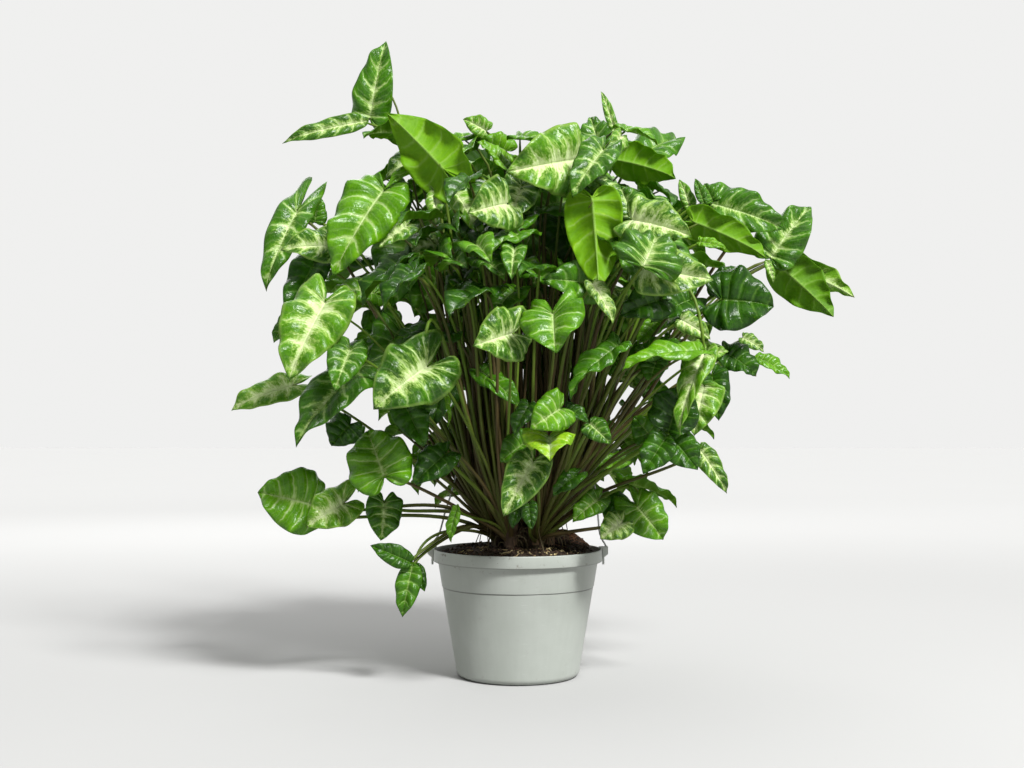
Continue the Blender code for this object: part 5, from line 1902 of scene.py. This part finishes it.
@dataclass
class Soil:
    """Moist soil that fills the pot: a crumbly top, a mound of fibre, and loose bits that lie on it."""

    rings: int = 64
    sides: int = 200
    lump: float = 0.0016
    lump_size: float = 0.012
    clod: float = 0.0011
    clod_size: float = 0.0042
    grain: float = 0.0008
    grain_size: float = 0.0019
    floor_gap: float = 0.0015
    crumbs: int = 820
    crumb_spread: float = 0.090
    fibres: int = 300
    fibre_radius: float = 0.00028
    fibre_limit: float = 0.0945
    mound_spread: float = 0.014
    mound_limit: float = 0.092
    flakes: int = 60
    flake_radius: float = 0.0007
    seed: int = 21

    def top(self, x: float, y: float) -> float:
        """Height of the lumpy surface.

        Args:
            x: metres to the right of the axis.
            y: metres behind it.

        Returns:
            The height in metres.
        """
        edge = RIM_RADIUS - POT_WALL - FIT_GAP
        inside = 1 - min(1.0, math.hypot(x, y) / edge) ** 8
        place = Vector((x, y, 0.0))
        lumps = noise.noise(place / self.lump_size) * self.lump
        lumps += noise.noise(place / self.clod_size + Vector((3, 1, 0))) * self.clod
        lumps += abs(noise.noise(place / self.grain_size + Vector((7, 5, 0)))) * self.grain
        return soil_top(x, y) + lumps * inside

    def on_top(self, x: float, y: float) -> Vector:
        """The point of the lumpy surface at a place."""
        return Vector((x, y, self.top(x, y)))

    def body(self) -> bpy.types.Object:
        """The soil's body, from its top down to the pot's floor.

        Returns:
            The soil's body.
        """
        step_z = POT_HEIGHT - STEP_DEPTH
        band_z = POT_HEIGHT - RIM_BAND_HEIGHT
        inset = POT_WALL + FIT_GAP
        edge = RIM_RADIUS - inset
        floor_z = POT_WALL + self.floor_gap
        side = [
            (edge, band_z + POT_WALL),
            (BODY_TOP_RADIUS - inset, band_z),
            (STEP_RADIUS - inset, step_z),
            (BASE_RADIUS - inset, floor_z + FOOT_ROUND),
            (BASE_RADIUS - FOOT_ROUND - inset, floor_z),
            (0.0, floor_z),
        ]
        cover = [(edge * (ring / self.rings) ** 0.9, SOIL_EDGE_Z) for ring in range(self.rings + 1)]
        mesh = turned([*cover, *side], self.sides, "soil_body")
        for vertex in mesh.vertices:
            if vertex.co.z > SOIL_EDGE_Z - 1e-6:
                vertex.co.z = self.top(vertex.co.x, vertex.co.y)
        mesh.materials.append(SoilFinish().material())
        mesh.shade_smooth()
        return settle(mesh, "soil_body", "potting_soil", "soil")

    def spot(self, draw: random.Random) -> Vector:
        """A seeded place on the surface."""
        turn = draw.uniform(0, 2 * math.pi)
        reach = self.crumb_spread * math.sqrt(draw.random())
        return self.on_top(reach * math.cos(turn), reach * math.sin(turn))

    def loose(self) -> bpy.types.Object:
        """Crumbs, reddish fibres at the mound, and straw-coloured flakes at the front, in one piece.

        Returns:
            The loose bits.
        """
        draw = random.Random(self.seed)
        crumb = SoilFinish("soil_crumbs", (0.016, 0.010, 0.007), (0.085, 0.048, 0.026)).material()
        fibre = SheathFinish("coir_fibre", (0.260, 0.120, 0.052), (0.085, 0.036, 0.018)).material()
        straw = SheathFinish("straw_flake", (0.520, 0.420, 0.210), (0.230, 0.160, 0.070)).material()
        piece = Piece("soil_loose", [crumb, fibre, straw])
        ball = bmesh.new()
        bmesh.ops.create_icosphere(ball, subdivisions=1, radius=1.0)
        knobs = np.array([vertex.co for vertex in ball.verts])
        faces = [[vertex.index for vertex in face.verts] for face in ball.faces]
        ball.free()
        flat = np.zeros((3 * len(faces), 2))
        for index in range(self.crumbs):
            place = self.spot(draw)
            size = draw.uniform(0.0007, 0.0024) * (1.3 if index % 9 == 0 else 1.0)
            shape = np.array([[draw.uniform(0.65, 1.25)] for _ in knobs])
            squash = np.array((draw.uniform(0.8, 1.3), draw.uniform(0.8, 1.3), draw.uniform(0.6, 1.0)))
            points = knobs * shape * squash * size + np.array(place) + np.array((0, 0, size * 0.25))
            piece.add(points, faces, 0, flat, (draw.random(), 0.5))
        for index in range(self.fibres):
            place = self.spot(draw)
            if index % 5 > 0:
                x = MOUND_PLACE.x + draw.gauss(0, self.mound_spread)
                y = MOUND_PLACE.y + draw.gauss(0, self.mound_spread)
                place = self.on_top(*held_in(x, y, self.mound_limit))
            self.add_fibre(piece, place, draw, 1, draw.uniform(0.008, 0.026), self.fibre_radius)
        for _ in range(self.flakes):
            turn = math.radians(draw.uniform(-150, -30))
            reach = draw.uniform(0.045, 0.089)
            place = self.on_top(reach * math.cos(turn), reach * math.sin(turn))
            self.add_fibre(piece, place, draw, 2, draw.uniform(0.003, 0.009), self.flake_radius)
        return piece.build("potting_soil")

    def add_fibre(
        self, piece: Piece, place: Vector, draw: random.Random, mark: int, length: float, radius: float
    ) -> None:
        """Adds one bent fibre that lies at a place on the soil.

        Args:
            piece: the piece to add to.
            place: where its middle lies.
            draw: the soil's draws.
            mark: the number of its finish.
            length: its length.
            radius: its radius.
        """
        turn = draw.uniform(0, 2 * math.pi)
        known = []
        for step in range(4):
            turn += draw.uniform(-0.7, 0.7)
            x = place.x + math.cos(turn) * length * (step / 3 - 0.5)
            y = place.y + math.sin(turn) * length * (step / 3 - 0.5)
            x, y = held_in(x, y, self.fibre_limit)
            known.append((x, y, self.top(x, y) + draw.uniform(0.0, 0.0024)))
        radii = radius * draw.uniform(0.7, 1.3) * np.array((0.4, 0.8, 1, 1, 1, 0.8, 0.4))
        piece.add_tube(smooth_line(known, 7), radii, mark, 5, (draw.random(), 0.5))


@dataclass
class Hanger:
    """The wire hanger: three legs hooked into rim clips, the sleeve that joins them, and the hook above."""

    wire_radius: float = 0.0011
    hook_radius: float = 0.0014
    wire_sides: int = 14
    sleeve_radius: float = 0.0055
    sleeve_steps: int = 28
    crimps: Swellings = ((-0.10, 0.3, 0.06), (-0.10, 0.7, 0.06))
    sleeve_foot_z: float = 0.526
    sleeve_top_z: float = 0.544
    leg_seat_radius: float = 0.0031
    leg_hole_depth: float = 0.008
    leg_end_run: float = 0.006
    leg_points: int = 11
    seat_depth: float = 0.0032
    hook_hole_depth: float = 0.005
    hook_rise_z: float = 0.572
    hook_bend: float = 0.010
    hook_steps: int = 11
    clip_width: float = 0.006
    clip_wall: float = 0.0022
    clip_drop: float = 0.019
    clip_lip: float = 0.0013
    clip_lip_drop: float = 0.0032
    clip_boss: float = 0.0068
    boss_drop: float = 0.0067
    boss_foot_drop: float = 0.0105
    clip_soft: float = 0.0006
    ribs: int = 3
    rib_drop: float = 0.0128
    rib_step: float = 0.0020

    @property
    def legs(self) -> dict[str, tuple[float, tuple[Pair, ...]]]:
        """Each leg's side of the pot in degrees, and its bends as radius and height."""
        return {
            "left": (180, ((0.0935, 0.166), (0.0855, 0.196), (0.077, 0.222), (0.036, 0.380))),
            "right": (0, ((0.097, 0.168), (0.093, 0.211), (0.0806, 0.266), (0.040, 0.400))),
            "rear": (90, ((0.097, 0.168), (0.088, 0.215), (0.070, 0.280), (0.034, 0.400))),
        }

    def leg_route(self, azimuth: float, bends: Sequence[Pair]) -> list[Vector]:
        """A leg's route: up out of the clip, through its bends and into the sleeve.

        Args:
            azimuth: the leg's side in degrees.
            bends: radius and height of its bends.

        Returns:
            The route's points.
        """
        way = heading(math.radians(azimuth))
        radius = RIM_RADIUS + FIT_GAP + self.clip_wall + (self.clip_boss - self.clip_wall) / 2
        seat = way * radius + UP * (POT_HEIGHT - self.seat_depth)
        end = way * self.leg_seat_radius
        known = [seat + UP * self.leg_end_run]
        known += [way * reach + UP * height for reach, height in bends]
        known.append(end + UP * (self.sleeve_foot_z - 2 * self.leg_end_run))
        last = end + UP * (self.sleeve_foot_z + self.leg_hole_depth - FIT_GAP)
        coarse = [Vector(point) for point in smooth_line(known, self.leg_points)]
        return [seat, *coarse, last]

    def add_wire(
        self, name: str, known: Sequence[Vector], radius: float, count: int, finish: Material
    ) -> None:
        """Builds one wire as its own piece, with rounded ends.

        Args:
            name: the node that it stands for.
            known: the points that it passes.
            radius: its radius.
            count: the rings along it.
            finish: the wire's finish.
        """
        line = by_length(smooth_line(known, CURVE_POINTS), np.linspace(0, 1, count))
        radii = np.full(count, radius)
        radii[0] = radii[-1] = radius * 0.7
        piece = Piece(name + "_wire", [finish])
        piece.add_tube(line, radii, 0, self.wire_sides)
        piece.build("galvanised_wire", name)

    def add_clip(self, side: str, azimuth: float, finish: Material) -> None:
        """Builds one clip: hooked over the rim, with soft edges, a ribbed back and a boss for the wire.

        Args:
            side: the leg's side, as in its node's name.
            azimuth: that side in degrees.
            finish: the clip's finish.
        """
        outside = RIM_RADIUS + FIT_GAP
        inside = RIM_RADIUS - POT_WALL - FIT_GAP
        top = POT_HEIGHT + FIT_GAP
        outline = [
            (inside, top - self.clip_lip_drop),
            (inside, top),
            (outside, top),
            (outside, top - self.clip_drop),
            (outside + self.clip_wall, top - self.clip_drop),
            (outside + self.clip_wall, top - self.boss_foot_drop),
            (outside + self.clip_boss, top - self.boss_drop),
            (outside + self.clip_boss, top + self.clip_wall),
            (inside - self.clip_lip, top + self.clip_wall),
            (inside - self.clip_lip, top - self.clip_lip_drop),
        ]
        work = bmesh.new()
        rows = []
        for offset in (-self.clip_width / 2, self.clip_width / 2):
            rows.append([work.verts.new((radius, offset, height)) for radius, height in outline])
        work.faces.new(rows[0])
        work.faces.new(rows[1][::-1])
        count = len(outline)
        for i in range(count):
            j = (i + 1) % count
            work.faces.new([rows[0][i], rows[1][i], rows[1][j], rows[0][j]])
        bmesh.ops.recalc_face_normals(work, faces=work.faces)
        edges = [edge for edge in work.edges if edge.calc_face_angle(0) > math.radians(30)]
        bmesh.ops.bevel(work, geom=edges, offset=self.clip_soft, segments=3, profile=0.6, affect="EDGES")
        seat = outside + (self.clip_wall + self.clip_boss) / 2
        collar = Matrix.Translation((seat, 0.0, top + self.clip_wall))
        sizes = {"segments": 24, "radius1": 0.0021, "radius2": 0.0017, "depth": 0.0016}
        bmesh.ops.create_cone(work, cap_ends=True, matrix=collar, **sizes)
        for rib in range(self.ribs):
            place = (outside + self.clip_wall, 0.0, top - self.rib_drop - rib * self.rib_step)
            box = Matrix.Translation(place) @ Matrix.Diagonal((0.0007, 0.0042, 0.0007, 1.0))
            bmesh.ops.create_cube(work, size=1.0, matrix=box)
        mesh = in_order(work, "rim_clip")
        mesh.transform(Matrix.Rotation(math.radians(azimuth), 4, "Z"))
        mesh.materials.append(finish)
        mesh.shade_smooth()
        mesh.set_sharp_from_angle(angle=math.radians(45))
        settle(mesh, f"rim_clip_{side}_moulded", "clip_plastic", "rim_clip_" + side)

    def build(self) -> None:
        """Builds the legs, the clips, the sleeve and the hook."""
        wire = WireFinish().material()
        plastic = ClipFinish().material()
        for side, (azimuth, bends) in self.legs.items():
            route = self.leg_route(azimuth, bends)
            self.add_wire("hanger_leg_" + side, route, self.wire_radius, 90, wire)
            self.add_clip(side, azimuth, plastic)
        hook = [UP * (self.sleeve_top_z - self.hook_hole_depth + FIT_GAP), UP * self.hook_rise_z]
        for step in range(1, self.hook_steps + 1):
            angle = math.radians(180 - 20 * step)
            bend = Vector((1 + math.cos(angle), 0.0, math.sin(angle))) * self.hook_bend
            hook.append(UP * self.hook_rise_z + bend)
        self.add_wire("hanger_hook", hook, self.hook_radius, 80, wire)
        steps = self.sleeve_steps
        route = np.zeros((steps, 3))
        route[:, 2] = np.linspace(self.sleeve_foot_z, self.sleeve_top_z, steps)
        radii = self.sleeve_radius * swell(np.linspace(0, 1, steps), self.crimps)
        radii[[0, -1]] *= 0.93
        piece = Piece("hanger_sleeve_crimped", [wire])
        piece.add_tube(route, radii, 0, steps)
        piece.build("galvanised_wire", "hanger_sleeve")


@dataclass
class Studio:
    """The pale floor, the soft lights, and the camera at the front view's eye."""

    view: FrontView
    sensor: float = 36.0
    sheet_width: int = 1024
    floor_size: float = 40.0
    world: Colour = (1.000, 1.000, 0.990)
    backdrop_strength: float = 0.87
    light_strengths: Pair = (0.20, 0.85)
    sun_strength: float = 3.3
    sun_angle: float = math.radians(11)
    floor_drop: float = 0.0004

    def add_camera(self) -> None:
        """Sets the camera at the eye, with the view's own focal length."""
        camera = bpy.data.cameras.new("front_camera")
        camera.sensor_width = self.sensor
        camera.lens = self.view.focal / self.sheet_width * self.sensor
        camera.clip_end = 100.0
        holder = linked("front_camera", camera)
        holder.location = self.view.eye
        holder.rotation_euler = (math.pi / 2 + self.view.pitch, 0.0, 0.0)
        bpy.context.scene.camera = holder

    def add_light(
        self, name: str, place: Sequence[float], target: Sequence[float], size: float, power: float
    ) -> None:
        """Adds a soft square light that faces a point.

        Args:
            name: its name.
            place: where it hangs.
            target: the point that it faces.
            size: the length of its side.
            power: its power in watts.
        """
        light = bpy.data.lights.new(name, "AREA")
        light.size = size
        light.energy = power
        holder = linked(name, light)
        holder.location = place
        way = Vector(target) - Vector(place)
        holder.rotation_euler = way.to_track_quat("-Z", "Y").to_euler()

    def add_sun(self, name: str, way: Sequence[float]) -> None:
        """Adds the wide soft light that comes evenly from one side."""
        light = bpy.data.lights.new(name, "SUN")
        light.energy = self.sun_strength
        light.angle = self.sun_angle
        holder = linked(name, light)
        holder.rotation_euler = Vector(way).to_track_quat("Z", "Y").to_euler()

    def build(self) -> None:
        """Builds the floor, the lights, the world and the camera."""
        self.add_camera()
        half = self.floor_size / 2
        mesh = bpy.data.meshes.new("floor")
        corners = [(-half, -half, 0), (half, -half, 0), (half, half, 0), (-half, half, 0)]
        mesh.from_pydata(corners, [], [(0, 1, 2, 3)])
        mesh.materials.append(FloorFinish().material())
        floor = linked("floor", mesh)
        floor.location.z = -self.floor_drop
        self.add_sun("key", (0.60, -0.95, 1.15))
        self.add_light("glint", (1.1, -1.5, 2.0), (0.0, 0.0, 0.40), 0.4, 55.0)
        self.add_light("through", (-0.5, 1.9, 1.9), (0.0, 0.0, 0.42), 1.8, 26.0)
        graph = Graph("studio_world", "worlds")
        _, away, up = graph.parts(graph.node("TexCoord", {}, {}, "Generated"))
        light = (away * 0.8 + up * 0.9).step(-0.3, 0.8, *self.light_strengths)
        seen = graph.node("LightPath", {}, {}, "Is Camera Ray")
        strength = light + seen * (self.backdrop_strength - light)
        sky = graph.node("Background", {}, {"Color": self.world, "Strength": strength})
        bpy.context.scene.world = graph.close("OutputWorld", sky)
        bpy.context.scene.view_settings.view_transform = "Standard"
        log.info("studio: floor, three lights and the camera")


def main() -> None:
    """Builds the studio and the pieces in order."""
    logging.basicConfig(level=logging.INFO, format="%(name)s: %(message)s")
    view = FrontView()
    Studio(view).build()
    Pot().build()
    soil = Soil()
    soil.body()
    soil.loose()
    Hanger().build()
    Crown(view, BackRule(), INNER_RULES).build()


if __name__ == "__main__":
    main()
